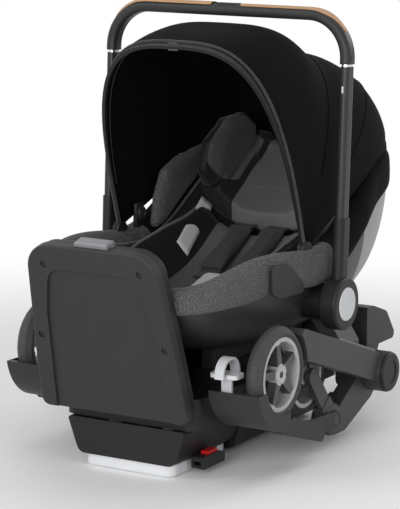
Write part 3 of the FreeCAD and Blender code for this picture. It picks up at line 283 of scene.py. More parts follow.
DARK = (0.014, 0.014, 0.0155)
hard = {
    "dark_plastic": moulded("dark_moulding", DARK, 0.44),
    "panel_plastic": moulded("panel_moulding", (0.027, 0.027, 0.028), 0.46, 0.00012, 1800.0),
    "pad_rubber": moulded("pad_rubber", (0.02, 0.02, 0.02), 0.8),
    "screw_steel": brushed("black_screw", (0.05, 0.05, 0.05), 0.35, 0.8),
    "pale_plastic": moulded("pale_moulding", (0.62, 0.63, 0.645), 0.32, 0.00004),
    "grey_plastic": moulded("grey_moulding", (0.2, 0.2, 0.21), 0.42),
    "red_plastic": moulded("red_moulding", (0.58, 0.012, 0.012), 0.34),
    "shell_plastic": shell_plastic(),
    "beam_metal": brushed("beam_paint", (0.058, 0.058, 0.06), 0.46, 0.25),
    "strip_metal": brushed("strip_metal", (0.17, 0.17, 0.172), 0.34, 0.6),
    "housing_plastic": moulded("housing_moulding", (0.04, 0.04, 0.042), 0.46),
    "dark_metal": brushed("tube_paint", (0.03, 0.03, 0.0315), 0.34, 0.2),
    "bright_metal": brushed("bright_tube", (0.66, 0.66, 0.67), 0.24, 0.95),
    "grip_plastic": moulded("grip_moulding", (0.026, 0.026, 0.027), 0.38, 0.0001, 1500.0),
    "fender_plastic": moulded("fender_moulding", (0.026, 0.026, 0.0275), 0.42),
}
record_slots = {part["node"]: part["material_slot"] for part in frame["record"]["subparts"]}


def paint(node, material):
    """Give a node of the frame one material."""
    nodes[node].data.materials.clear()
    nodes[node].data.materials.append(material)


for kind, hub, rim in (("caster", 0.013, 0.040), ("wheel", 0.015, 0.0455)):
    x, y, z = joints[kind + "_spin_right"]["pos_m"]
    face = wheel_face(kind + "_face", y, z, hub, rim)
    rubber = tyre_rubber(kind + "_rubber", y, z, abs(x))
    for side in ("right", "left"):
        paint(kind + "_rim_" + side, face)
        paint(kind + "_tyre_" + side, rubber)
dressed = [node for node in nodes if record_slots[node] in hard]
for node in dressed:
    paint(node, hard[record_slots[node]])
nodes["buckle_button"].data.materials[0] = hard["pale_plastic"]
print("hard nodes dressed", len(dressed))

# %% [markdown]
# ## Cloth finishes
# The heathered cover is a rib of dark and pale threads; three crossed sine waves give threads on
# a surface that faces any way, so the weave needs no unwrapping. Sheen on the shader's own
# socket lifts the edges as brushed fibre does. Where one block changes cloth, a mask made from
# the place on the piece picks the colour.

# %% soft finishes
# where the insert changes from mesh to jersey: beside its middle, and above the flap at the feet
INSERT_HALF = 0.068
INSERT_TAPER = 0.02
FLAP_TO_Y = -0.063
SEAM_EDGE = 0.0015
# the pillow's middle panel with its curved seam
PANEL_HALF = 0.058
SEAM_Z = 0.34667
SEAM_PER_Z = 60.0
SEAM_BEND = 0.12
# the painted highlight on each wing of the pillow, a paler rounded patch: its middle, and one over its reach each
# way; the pillow's seam bends round the same middle
HIGHLIGHT_Y = 0.182
HIGHLIGHT_Z = 0.408
HIGHLIGHT_PER_Y = 13.0
HIGHLIGHT_PER_Z = 19.5
HIGHLIGHT_FROM_X = 0.066
HIGHLIGHT_TO_X = 0.084
MASK_EDGE = 0.002


def woven(name, dark, light, pitch, flecks=0.5, roughness=0.85, depth=0.00035, sheen=0.25):
    """Cloth of crossed threads with a wave length of pitch, flecked with paler yarn."""
    made = Finish(name, (dark, dark, dark), roughness, **{"Sheen Weight": sheen, "Sheen Roughness": 0.45,
                                                          "Specular IOR Level": 0.15})
    x, y, z = made.axes()
    turns = 2 * math.pi / pitch
    along = ((x + y + z) * turns).sine()
    across = ((x - y + z) * turns).sine()
    third = ((x + y - z) * turns).sine()
    threads = along * (across + third) * 0.25 + 0.5
    yarn = made.noise(520.0, 2.0)
    pale = threads * (1 - flecks) + yarn.step(0.42, 0.66) * flecks
    made.set(**{"Base Color": made.mix(pale, grey(dark), grey(light))})
    made.set(Roughness=(yarn - 0.5) * 0.16 + roughness)
    made.bump(threads + yarn * 0.4, depth)
    return made.material


def brush(made, roughness, relief, depth):
    """Tiny fibres over a larger relief, in the gloss and in the bump."""
    fibres = made.noise(1700.0, 2.0)
    made.set(Roughness=(fibres - 0.5) * 0.14 + roughness)
    made.bump(relief + fibres * 0.03, depth)


def smooth_cloth(name, tone, roughness, sheen, wrinkle=0.0012, specular=0.12):
    """Fine jersey: soft wrinkles, with painted shade in their hollows over a random tone, tiny fibres, a little
    sheen.
    """
    made = Finish(name, (tone, tone, tone), roughness, **{"Sheen Weight": sheen, "Sheen Roughness": 0.5,
                                                          "Specular IOR Level": specular})
    folds_and_painted_shade = made.noise(16.0, 2.0)
    # the colour follows the fold relief of the bump: painted shade in the hollows, on top of a random tone
    made.set(**{"Base Color": made.mix(folds_and_painted_shade, grey(tone * 0.85), grey(tone * 1.15))})
    brush(made, roughness, folds_and_painted_shade, wrinkle)
    return made.material


def leather(name):
    """Tan leather with pebbled grain and a cloudy tone."""
    made = Finish(name, (0.43, 0.25, 0.12), 0.5)
    pebbles = made.node("ShaderNodeTexVoronoi", None, {"Vector": made.place(), "Scale": 900.0})
    cloudy = made.noise(45.0)
    made.set(**{"Base Color": made.mix(cloudy, (0.37, 0.205, 0.092, 1), (0.5, 0.3, 0.155, 1))})
    made.set(Roughness=(cloudy - 0.5) * 0.2 + 0.48)
    made.bump(pebbles, 0.00025)
    return made.material


def insert_cloth():
    """Grey jersey down the middle, black mesh up the sides and over the flap at the feet."""
    made = Finish("insert_cloth", (0.1, 0.1, 0.1), 0.78, **{"Sheen Weight": 0.1, "Specular IOR Level": 0.12})
    x, y = made.axes()[:2]
    middle = 1 - (x.absolute() - y * INSERT_TAPER).step(INSERT_HALF, INSERT_HALF + SEAM_EDGE)
    above = y.step(FLAP_TO_Y, FLAP_TO_Y + MASK_EDGE)
    folds_and_painted_shade = made.noise(16.0, 2.0)
    # the grey follows the fold relief of the bump: painted shade in the hollows, on top of a random tone
    cloth = made.mix(folds_and_painted_shade, grey(0.105), grey(0.13))
    made.set(**{"Base Color": made.mix(middle * above, grey(0.009), cloth)})
    brush(made, 0.78, folds_and_painted_shade + middle * 0.8, 0.0012)
    return made.material


def pillow_cloth():
    """Black pillow with a grey middle panel and a painted highlight, a paler rounded patch, on each wing."""
    made = Finish("pillow_cloth", (0.05, 0.05, 0.05), 0.6, **{"Sheen Weight": 0.15,
                                                              "Specular IOR Level": 0.2})
    x, y, z = made.axes()
    across = x.absolute()
    far_y = (y - HIGHLIGHT_Y) * HIGHLIGHT_PER_Y
    far_z = (z - HIGHLIGHT_Z) * HIGHLIGHT_PER_Z
    # the painted highlight: a paler rounded patch on the inner face of each wing
    face = 1 - (far_y * far_y + far_z * far_z).step(0.92, 1.0)
    past = across.step(HIGHLIGHT_FROM_X, HIGHLIGHT_FROM_X + MASK_EDGE)
    beyond = across.step(HIGHLIGHT_TO_X, HIGHLIGHT_TO_X + MASK_EDGE)
    panel = 1 - across.step(PANEL_HALF, PANEL_HALF + SEAM_EDGE)
    seam = (far_y * far_y * SEAM_BEND + (z - SEAM_Z) * SEAM_PER_Z).absolute().step(0.0, 0.05)
    tone = made.mix(panel, grey(0.009), grey(0.12))
    # grey(0.085) is the colour of the painted highlight on the wings
    made.set(**{"Base Color": made.mix(face * past * (1 - beyond), tone, grey(0.085))})
    brush(made, 0.6, made.noise(16.0, 2.0) + seam * 0.5 * panel, 0.0016)
    return made.material


HEATHER = woven("heather_cloth", 0.005, 0.19, 0.0046, 0.3, depth=0.0006, sheen=0.08)
MESH_CLOTH = woven("mesh_cloth", 0.004, 0.11, 0.0046, 0.2, sheen=0.1)
WEBBING = woven("harness_webbing", 0.012, 0.05, 0.002, 0.2, 0.7)
BLACK_CLOTH = smooth_cloth("black_cloth", 0.009, 0.7, 0.1)
CANOPY_CLOTH = smooth_cloth("canopy_cloth", 0.0042, 0.88, 0.01, 0.0006, 0.05)
PILLOW_CLOTH = pillow_cloth()
INSERT_CLOTH = insert_cloth()
PIPING_CLOTH = woven("piping_cloth", 0.05, 0.2, 0.0018, 0.3)
HEM_CLOTH = woven("hem_cloth", 0.02, 0.075, 0.0018, 0.3)
LEATHER = leather("tan_leather")
LABEL_CLOTH = woven("blank_label_cloth", 0.52, 0.66, 0.0014, 0.2, 0.6, 0.00008)
TAG_CLOTH = woven("tag_cloth", 0.10, 0.22, 0.0012, 0.2)

# %% [markdown]
# ## Studio
# A plain pale floor fades into a plain white room. Five broad lamps light the seat: the strongest
# in front, a softer key at the left, a fill at the right, one above and one behind. A backdrop
# would do as well, but this room is white to the camera, in reflections and through the floor's
# edge, and lights the seat with only a third of that, which keeps the dark cloth dark.

# %% floor, room and lamps
FLOOR_HALF = 6.0
FADE_FROM = 0.55
FADE_TO = 1.5
ROOM_LIGHT = 0.32
floor_mesh = bpy.data.meshes.new("floor")
floor_mesh.from_pydata([(-FLOOR_HALF, -FLOOR_HALF, 0), (FLOOR_HALF, -FLOOR_HALF, 0),
                        (FLOOR_HALF, FLOOR_HALF, 0), (-FLOOR_HALF, FLOOR_HALF, 0)], [], [(0, 1, 2, 3)])
floor = bpy.data.objects.new("floor", floor_mesh)
bpy.context.scene.collection.objects.link(floor)
paper = Finish("paper_floor", (0.93, 0.93, 0.935), 0.6)
reach = paper.node("ShaderNodeVectorMath", {"operation": "LENGTH"}, {0: paper.place()}, "Value")
clear = paper.node("ShaderNodeBsdfTransparent")
blend_node = paper.node("ShaderNodeMixShader", None, {0: reach.step(FADE_FROM, FADE_TO), 2: clear})
paper.tree.links.new(paper.shader.outputs[0], blend_node.socket.node.inputs[1])
paper.tree.links.new(blend_node.socket, paper.tree.nodes["Material Output"].inputs["Surface"])
floor_mesh.materials.append(paper.material)

world = bpy.data.worlds.new("room")
bpy.context.scene.world = world
world.use_nodes = True
room = world.node_tree
path = room.nodes.new("ShaderNodeLightPath")
seen = path.outputs["Is Camera Ray"]
for ray in ("Is Transmission Ray", "Is Glossy Ray"):
    either = room.nodes.new("ShaderNodeMath")
    either.operation = "MAXIMUM"
    room.links.new(seen, either.inputs[0])
    room.links.new(path.outputs[ray], either.inputs[1])
    seen = either.outputs[0]
strength = room.nodes.new("ShaderNodeMapRange")
strength.inputs["To Min"].default_value = ROOM_LIGHT
room.links.new(seen, strength.inputs["Value"])
room.links.new(strength.outputs[0], room.nodes["Background"].inputs["Strength"])
room.nodes["Background"].inputs["Color"].default_value = (1, 1, 1, 1)


def lamp(name, spot, aim, width, height, power):
    made = bpy.data.objects.new(name, bpy.data.lights.new(name, "AREA"))
    made.data.shape = "RECTANGLE"
    made.data.size = width
    made.data.size_y = height
    made.data.energy = power
    made.location = spot
    made.rotation_euler = (Vector(aim) - Vector(spot)).to_track_quat("-Z", "Y").to_euler()
    bpy.context.scene.collection.objects.link(made)


lamp("key", (-1.5, -2.0, 1.7), (0, 0, 0.3), 1.4, 1.4, 20)
lamp("front", (0.5, -3.0, 0.95), (0, 0, 0.32), 1.6, 1.2, 52)
lamp("fill", (2.3, -1.2, 0.9), (0, 0, 0.25), 1.0, 1.6, 12)
lamp("top", (0.2, 0.3, 2.3), (0, 0, 0.2), 1.8, 1.8, 8)
lamp("rim", (0.8, 2.0, 1.4), (0, 0, 0.3), 1.0, 1.0, 10)

# %% [markdown]
# ## Measuring the frame
# Cloth has to lie on the hard parts, so its shape is measured from them. A ray shot at a node's
# mesh gives the exact point where it lands, at any place along the seat.


# %% rays and mesh helpers
trees = {}


def hit(node, origin, direction):
    """Where a ray first meets a node, or None."""
    if node not in trees:
        mesh = nodes[node].data
        trees[node] = BVHTree.FromPolygons([v.co for v in mesh.vertices],
                                           [face.vertices for face in mesh.polygons])
    return trees[node].ray_cast(Vector(origin), Vector(direction))[0]


def top_of(node, x, y):
    """Height of a node's upper side at one place, or None beside it."""
    found = hit(node, (x, y, 1.0), (0, 0, -1))
    return None if found is None else found.z


def add_mesh(name, points, faces, material, body=None):
    """A new piece from points and faces, riding on a body."""
    mesh = bpy.data.meshes.new(name)
    mesh.from_pydata([tuple(p) for p in points], [], faces)
    mesh.validate()
    mesh.polygons.foreach_set("use_smooth", [True] * len(mesh.polygons))
    made = bpy.data.objects.new(name, mesh)
    bpy.context.scene.collection.objects.link(made)
    for one in material if isinstance(material, (list, tuple)) else [material]:
        mesh.materials.append(one)
    if body is not None:
        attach(made, body)
    return made


def grid_faces(rows, columns, round_rows=False, round_columns=False):
    """Quads between rows of points; a round direction closes on itself."""
    faces = []
    for i in range(rows - (0 if round_rows else 1)):
        for j in range(columns - (0 if round_columns else 1)):
            here, there = i * columns, (i + 1) % rows * columns
            k = (j + 1) % columns
            faces.append((here + j, there + j, there + k, here + k))
    return faces


def tube(name, line, radius, material, body, closed=False, sides=8):
    """A round cord along a line of points."""
    line = [Vector(p) for p in line]
    count = len(line)
    points = []
    up = Vector((0, 0, 1))
    for i, here in enumerate(line):
        before = line[i - 1] if i or closed else here
        after = line[(i + 1) % count] if i < count - 1 or closed else here
        run = (after - before).normalized()
        side = run.cross(up)
        side = side.normalized() if side.length > 0.05 else run.cross(Vector((1, 0, 0))).normalized()
        rise = side.cross(run)
        for k in range(sides):
            angle = 2 * math.pi * k / sides
            points.append(here + (side * math.cos(angle) + rise * math.sin(angle)) * radius)
    faces = grid_faces(count, sides, closed, True)
    if not closed:
        faces.append(tuple(range(sides)))
        faces.append(tuple(range((count - 1) * sides, count * sides))[::-1])
    return add_mesh(name, points, faces, material, body)


def modifier(piece, kind, **settings):
    made = piece.modifiers.new(kind.lower(), kind)
    for name, value in settings.items():
        setattr(made, name, value)
    return made


def catmull(table, place):
    """Smooth value of each column of a table at a fractional row."""
    rows = np.array(table, float)
    i = min(int(place), len(rows) - 2)
    t = place - i
    p0, p1, p2, p3 = (rows[min(max(k, 0), len(rows) - 1)] for k in (i - 1, i, i + 1, i + 2))
    return 0.5 * (2 * p1 + (p2 - p0) * t + (2 * p0 - 5 * p1 + 4 * p2 - p3) * t ** 2
                  + (3 * p1 - p0 - 3 * p2 + p3) * t ** 3)


print("helpers ready")


# %% [markdown]
# ## Seat cover
# The cover is one textile skin: a padded roll round the rim, a sloping edge, and the hollow the
# child lies in. It could be cut as panels, but rings that shrink from the rim to the middle of
# the hollow give one unbroken skin. Each ring's height is read off the foam below it.

# %% rim line of the seat
STATIONS = 56
SIDE_TURNS = 3
CORNER_TURNS = 8
END_POINTS = 16
END_MARGIN = 0.004
RIM_FROM_X = 0.090
RIM_TO_X = 0.170
RIM_STEP = 0.0015
RIM_DIP = 0.012
shell_low, shell_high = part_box("seat_shell")


def rim_station(y):
    """Half width and height of the shell's rim at one place along the seat."""
    best = (0.0, 0.0)
    for x in np.arange(RIM_FROM_X, RIM_TO_X, RIM_STEP):
        z = top_of("seat_shell", x, y)
        if z is not None and z > best[1] - RIM_DIP:
            best = (x, max(z, best[1]))
    return best


along = np.linspace(shell_low.y + END_MARGIN, shell_high.y - END_MARGIN, STATIONS)
sides = np.array([rim_station(y) for y in along])
kernel = np.array([0.25, 0.5, 0.25])
for repeat in range(SIDE_TURNS):
    sides[1:-1] = kernel[0] * sides[:-2] + kernel[1] * sides[1:-1] + kernel[2] * sides[2:]
right = [(x, y, z) for (x, z), y in zip(sides, along)]
left = [(-x, y, z) for x, y, z in reversed(right)]


def end_row(start, stop):
    """Points straight across one end of the rim, from one side to the other."""
    return [tuple(p) for p in np.linspace(start, stop, END_POINTS)[1:-1]]


head = end_row(right[-1], left[0])
foot = end_row(left[-1], right[0])
rim = np.array(right + head + left + foot)
RING = len(rim)
for repeat in range(CORNER_TURNS):
    rim = kernel[0] * np.roll(rim, 1, 0) + kernel[1] * rim + kernel[2] * np.roll(rim, -1, 0)
tangent = np.roll(rim, -1, 0) - np.roll(rim, 1, 0)
tangent[:, 2] = 0
tangent /= np.linalg.norm(tangent, axis=1)[:, None]
outward = np.stack([tangent[:, 1], -tangent[:, 0], np.zeros(RING)], 1)
print("rim ring points", RING)

# %% rings of the cover
ROLL = 0.0135
DROP = 0.044
FOOT_DROP = 0.62 * DROP
FOOT_END_Y = (-0.28, -0.2)
BOOT_SHARE = 0.35
BOOT_START_Y = (0.14, 0.2)
BLACK_FROM_Y = 0.03
PIPING_INSET = 0.031
PIPING_DROP = 0.011
PIPING_LIFT = 0.003
HEM_LIFT = 0.004
drop = np.interp(rim[:, 1], FOOT_END_Y, [FOOT_DROP, DROP])
# each row: how far out from the rim, share of the drop, height above the rim
profile = [(ROLL - 0.006, -1.0, 0.0), (ROLL - 0.001, -0.96, 0.0), (ROLL + 0.001, -0.75, 0.0),
           (ROLL + 0.001, -0.5, 0.0), (ROLL, -0.25, 0.0), (ROLL - 0.002, -0.06, 0.0),
           (ROLL - 0.006, 0.0, 0.003), (0.002, 0.0, 0.0055), (-0.006, 0.0, 0.0055),
           (-0.014, 0.0, 0.002), (-0.022, 0.0, -0.004), (-PIPING_INSET + 0.003, 0.0, -PIPING_DROP + 0.001),
           (-PIPING_INSET, 0.0, -PIPING_DROP - 0.003)]
snug = np.interp(rim[:, 1], BOOT_START_Y, [1.0, BOOT_SHARE])[:, None]
rings = []
for out, down, lift in profile:
    ring = rim + outward * out * (snug if out > 0 else 1.0)
    ring[:, 2] = rim[:, 2] + drop * down + lift
    rings.append(ring)
piping_ring = rings[-1].copy()
piping_ring[:, 2] += PIPING_LIFT
INNER = 22
INNER_TURNS = 2
SPINE_FROM_Y = -0.2
SPINE_TO_Y = 0.25
EDGE_STEP = 0.004
# a ray that falls exactly on an edge of the foam can slip through, so each is moved a little
ASIDE_SHARE = 0.999
ASIDE = 0.0001
spine = np.stack([np.zeros(RING), np.clip(rim[:, 1], SPINE_FROM_Y, SPINE_TO_Y), np.zeros(RING)], 1)
seam_ring = rings[-1]
for k in range(1, INNER + 1):
    share = k / INNER
    ring = seam_ring * (1 - share) + spine * share
    for i in range(RING):
        found = top_of("seat_foam", ring[i, 0] * ASIDE_SHARE + ASIDE, ring[i, 1])
        edge = seam_ring[i, 2] - EDGE_STEP
        ring[i, 2] = edge if found is None else min(found, edge)
    rings.append(ring)
for repeat in range(INNER_TURNS):
    for k in range(len(profile), len(rings) - 1):
        middle = (rings[k - 1] + rings[k + 1] + np.roll(rings[k], 1, 0) + np.roll(rings[k], -1, 0)) / 4
        rings[k][:, 2] = 0.5 * rings[k][:, 2] + 0.5 * middle[:, 2]
cover = add_mesh("seat_cover", np.concatenate(rings), grid_faces(len(rings), RING, False, True),
                 [HEATHER, BLACK_CLOTH, CANOPY_CLOTH], "seat")
split = (len(profile) - 1) * RING
for face in cover.data.polygons:
    inside = min(face.vertices) >= split
    face.material_index = 1 if inside else 2 if face.center.y > BLACK_FROM_Y else 0
modifier(cover, "SOLIDIFY", thickness=0.0025, offset=-1.0)
modifier(cover, "SUBSURF", levels=1, render_levels=1)
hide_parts("seat_skirt", "seat_foam")
tube("cover_piping", piping_ring, 0.0024, PIPING_CLOTH, "seat", closed=True)
hem_ring = rings[1].copy()
hem_ring[:, 2] += HEM_LIFT
tube("cover_hem", hem_ring, 0.0016, HEM_CLOTH, "seat", closed=True)
print("cover rings", len(rings), "heather rings", len(profile))

# %% [markdown]
# ## Padded pieces
# Insert, head pillow, wings and harness pads are stuffed. Each starts from the plain block that
# holds its place in the frame: remeshed into even cells, blown up by a short cloth simulation
# with no gravity, capped so it stays in its space, then smoothed.

# %% stuffing a block
PRESSURE = 4.0
SHRINK = 0.0015
CLOTH_FRAMES = 20


def stuffed(node, name, material, body, voxel, cap, rounding=4):
    """A crowned, padded copy of a plain block in the frame."""
    mesh = nodes[node].data.copy()
    mesh.materials.clear()
    made = bpy.data.objects.new(name, mesh)
    bpy.context.scene.collection.objects.link(made)
    modifier(made, "REMESH", mode="VOXEL", voxel_size=voxel)
    modifier(made, "SMOOTH", factor=0.5, iterations=rounding)
    apply_all(made)
    mesh = made.data
    normals = np.array([v.normal for v in mesh.vertices])
    start = np.array([v.co for v in mesh.vertices]) - normals * SHRINK
    mesh.vertices.foreach_set("co", start.astype(np.float32).ravel())
    cloth = modifier(made, "CLOTH")
    cloth.settings.use_pressure = True
    cloth.settings.uniform_pressure_force = PRESSURE
    cloth.settings.effector_weights.gravity = 0.0
    cloth.settings.quality = 4
    cloth.point_cache.frame_start = 1
    cloth.point_cache.frame_end = CLOTH_FRAMES
    for number in range(1, CLOTH_FRAMES + 1):
        bpy.context.scene.frame_set(number)
    apply_all(made)
    swollen = np.array([v.co for v in made.data.vertices])
    bpy.context.scene.frame_set(1)
    travel = swollen - start
    length = np.linalg.norm(travel, axis=1)[:, None]
    start = start + travel * np.minimum(1, cap / np.maximum(length, 1e-9))
    made.data.vertices.foreach_set("co", start.astype(np.float32).ravel())
    made.data.polygons.foreach_set("use_smooth", [True] * len(made.data.polygons))
    modifier(made, "SMOOTH", factor=0.5, iterations=2)
    modifier(made, "SUBSURF", levels=1, render_levels=1)
    made.data.materials.append(material)
    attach(made, body)
    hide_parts(node)
    print(name, "points", len(made.data.vertices))
    return made


def apply_all(piece):
    """Bake the modifiers into the mesh."""
    bpy.context.view_layer.update()
    evaluated = piece.evaluated_get(bpy.context.evaluated_depsgraph_get())
    baked = bpy.data.meshes.new_from_object(evaluated)
    piece.modifiers.clear()
    piece.data = baked


# %% the padded pieces
insert = stuffed("body_insert", "insert_pad", INSERT_CLOTH, "seat", 0.005, 0.004)
stuffed("head_support", "head_pillow", PILLOW_CLOTH, "seat", 0.0045, 0.006)
stuffed("harness_pads", "shoulder_pads", MESH_CLOTH, "seat", 0.004, 0.004, rounding=3)
stuffed("side_bolsters", "cover_wings", HEATHER, "seat", 0.004, 0.004, rounding=3)

# %% [markdown]
# ## Finishing the padding
# The insert reaches up to the pillow, so its last stretch is drawn out along the seat's slope.
# A piping cord then follows its highest line on each side.

# %% insert edge
REACH_FROM_Y = 0.08
REACH_TO_Y = 0.12
REACH = 0.016
SLOPE = 0.6
LINE_TURNS = 4
LINE_WINDOW = 0.006
INSERT_PIPING_Y = (-0.13, 0.125)
for vertex in insert.data.vertices:
    if vertex.co.y > REACH_FROM_Y:
        move = REACH * min(1.0, (vertex.co.y - REACH_FROM_Y) / (REACH_TO_Y - REACH_FROM_Y))
        vertex.co.y += move
        vertex.co.z += move * SLOPE


def edge_line(piece, sign, from_y, to_y, steps=30):
    """Highest points of one side of a piece, along the seat."""
    spots = np.array([v.co for v in piece.data.vertices])
    spots = spots[spots[:, 0] * sign > 0]
    line = []
    for y in np.linspace(from_y, to_y, steps):
        near = spots[np.abs(spots[:, 1] - y) < LINE_WINDOW]
        line.append(near[np.argmax(near[:, 2])])
    line = np.array(line)
    for repeat in range(LINE_TURNS):
        line[1:-1] = 0.25 * line[:-2] + 0.5 * line[1:-1] + 0.25 * line[2:]
    return line


for side, sign in (("right", 1), ("left", -1)):
    tube("insert_piping_" + side, edge_line(insert, sign, *INSERT_PIPING_Y), 0.0022, PIPING_CLOTH,
         "seat")

# %% [markdown]
# ## Canopy
# A canopy is one cloth stretched over bows that fan out from two pivots. It could be turned, but
# the bows differ, so the sheet is swept through a short list of arches, with a smooth curve
# between them. The cloth pulls in a little between bows, and its hem carries a cord. Behind the
# pivots two gussets close the gap down to the seat cover.

# %% canopy sheet
PIVOT = Vector(joints["canopy_fold"]["pos_m"])
# lean forward in degrees, height of the arch, half width, squareness
ARCHES = ((17.2, 0.3165, 0.1605, 3.2), (4.0, 0.318, 0.160, 3.4), (-10.0, 0.321, 0.161, 3.6),
          (-24.5, 0.306, 0.162, 3.8), (-36.0, 0.325, 0.163, 4.0), (-50.0, 0.352, 0.164, 4.4),
          (-64.0, 0.377, 0.163, 4.5), (-76.5, 0.386, 0.158, 4.4))
ARCH_ROWS = 57
ARCH_POINTS = 61
SIDE_FOOT = 0.011
REST_ON_COVER = 0.004


def rim_height(y):
    """Height of the seat's rim at one place along it."""
    return float(np.interp(y, along, sides[:, 1]))


def arch_point(arch, t):
    """Point of an arch at an angle t from its right foot, 0 to pi."""
    lean, high, half, square = arch
    c = math.cos(t)
    x = half * math.copysign(abs(c) ** (2 / square), c)
    r = high * math.sin(t) ** (2 / square)
    lean = math.radians(lean)
    return Vector((x, PIVOT.y - r * math.sin(lean), PIVOT.z + r * math.cos(lean)))


def arch_start(arch):
    """Angle at which an arch clears the pivot and the cover below it."""
    low, high = 0.0, math.pi / 2
    for halving in range(40):
        t = (low + high) / 2
        spot = arch_point(arch, t)
        clear = (spot - Vector((spot.x, PIVOT.y, PIVOT.z))).length - SIDE_FOOT
        over = spot.z - rim_height(spot.y) - REST_ON_COVER
        behind_pivot = min(1.0, max(0.0, (spot.y - PIVOT.y) / SIDE_FOOT))
        if clear + min(0.0, over) * behind_pivot > 0 and (behind_pivot == 0 or over > 0):
            high = t
        else:
            low = t
    return high


canopy_rows = []
for i in range(ARCH_ROWS):
    arch = catmull(ARCHES, i * (len(ARCHES) - 1) / (ARCH_ROWS - 1))
    start = arch_start(arch)
    canopy_rows.append([arch_point(arch, start + (math.pi - 2 * start) * j / (ARCH_POINTS - 1))
                        for j in range(ARCH_POINTS)])
canopy = add_mesh("canopy_cloth", [p for row in canopy_rows for p in row],
                  grid_faces(ARCH_ROWS, ARCH_POINTS), CANOPY_CLOTH)
middle = ARCH_POINTS // 2
modifier(canopy, "SOLIDIFY", thickness=0.0018, offset=-1.0)
modifier(canopy, "SUBSURF", levels=1, render_levels=1)
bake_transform(canopy)
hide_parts("canopy_front", "canopy_rear")

# %% side gussets between the canopy's lower edge and the seat cover
GUSSET_STEP = 0.008
GUSSET_ROWS = 5
GUSSET_LIFT = 0.001
GUSSET_FROM_Y = PIVOT.y + 0.012
GUSSET_INSET = 0.0015
GUSSET_TUCK = 0.003
for side, column in (("right", 0), ("left", -1)):
    feet = [row[column] for row in canopy_rows if row[column].y > GUSSET_FROM_Y]
    feet.sort(key=lambda p: p.y)
    edge = []
    for a, b in zip(feet, feet[1:]):
        parts = max(1, int((b - a).length / GUSSET_STEP))
        edge += [a.lerp(b, k / parts) for k in range(parts)]
    edge = [p for p in edge if p.z - rim_height(p.y) > GUSSET_LIFT]
    points = []
    for p in edge:
        for share in np.linspace(0, 1, GUSSET_ROWS):
            z = p.z * (1 - share) + (rim_height(p.y) + GUSSET_LIFT) * share
            points.append((p.x - math.copysign(GUSSET_INSET, p.x), p.y, z + GUSSET_TUCK * (1 - share)))
    gusset = add_mesh("canopy_gusset_" + side, points, grid_faces(len(edge), GUSSET_ROWS), CANOPY_CLOTH,
                      "seat")
    modifier(gusset, "SOLIDIFY", thickness=0.0014, offset=0.0)
    print("gusset", side, len(edge), "stations")

# %% hem, seams and tag
tube("canopy_hem", canopy_rows[0], 0.0021, HEM_CLOTH, "canopy")
STITCH_IN = 0.004
STITCH_INSET = 0.003
STITCH_BACK = 0.010
inner_hem = []
for p in canopy_rows[0][2:-2]:
    outwards = Vector((0, p.y - PIVOT.y, p.z - PIVOT.z)).normalized()
    inner_hem.append(p - outwards * STITCH_IN + Vector((-math.copysign(STITCH_INSET, p.x), STITCH_BACK, 0)))
tube("canopy_hem_stitch", inner_hem, 0.0007, HEM_CLOTH, "canopy", sides=6)
for name, row in (("canopy_seam_middle", 24), ("canopy_seam_rear", 40)):
    tube(name, canopy_rows[row][3:-3], 0.0012, CANOPY_CLOTH, "seat", sides=6)
TAG_HALF = 0.0075
TAG_LONG = 0.011
TAG_OFFSET = Vector((-0.004, -0.0035, -0.002))
top = canopy_rows[0][middle] + TAG_OFFSET
tag_points = []
for down in (0.0, 0.5, 1.0):
    for across in np.linspace(-TAG_HALF, TAG_HALF, 5):
        tag_points.append((top.x + across, top.y, top.z - TAG_LONG * down))
tag = add_mesh("hem_tag", tag_points, grid_faces(3, 5), TAG_CLOTH, "canopy")
modifier(tag, "SOLIDIFY", thickness=0.0011, offset=0.0)

# %% [markdown]
# ## Harness
# Webbing is flat and stiff, so it is drawn directly: a ribbon with slightly raised edges that
# lies where the frame's strap lies. It could be simulated, but only short, taut stretches show.

# %% webbing
SHOULDER_HALF = 0.0175
CROTCH_HALF = 0.0165
STRAP_INSET = 0.018
END_INSET = 0.001


def ribbon(name, node, x, from_y, to_y, half, steps=28):
    """A flat strap on top of a strap block of the frame."""
    ribs = (-1.0, -0.93, -0.8, 0.0, 0.8, 0.93, 1.0)
    lifts = (0.0, 0.0006, 0.0, 0.0002, 0.0, 0.0006, 0.0)
    points = []
    for y in np.linspace(from_y, to_y, steps):
        z = top_of(node, x, y)
        for share, lift in zip(ribs, lifts):
            points.append((x + half * share, y, z + lift))
    made = add_mesh(name, points, grid_faces(steps, len(ribs)), WEBBING, "seat")
    modifier(made, "SOLIDIFY", thickness=0.0021, offset=-1.0)
    modifier(made, "SUBSURF", levels=1, render_levels=1)
    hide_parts(node)
    return made


strap_low, strap_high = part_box("harness_straps")
strap_x = strap_high.x - STRAP_INSET
for side, sign in (("right", 1), ("left", -1)):
    ribbon("shoulder_strap_" + side, "harness_straps", sign * strap_x, strap_low.y + END_INSET,
           strap_high.y - END_INSET, SHOULDER_HALF)
crotch_low, crotch_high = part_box("crotch_strap")
ribbon("crotch_webbing", "crotch_strap", 0.0, crotch_low.y + END_INSET, crotch_high.y - END_INSET,
       CROTCH_HALF, 12)
print("harness drawn")


# %% [markdown]
# ## Small hard details
# Screws, pivots, the height windows and the label tape are small, but the eye looks for them.
# Turned parts come from one profile; blocks get soft edges from a bevel.

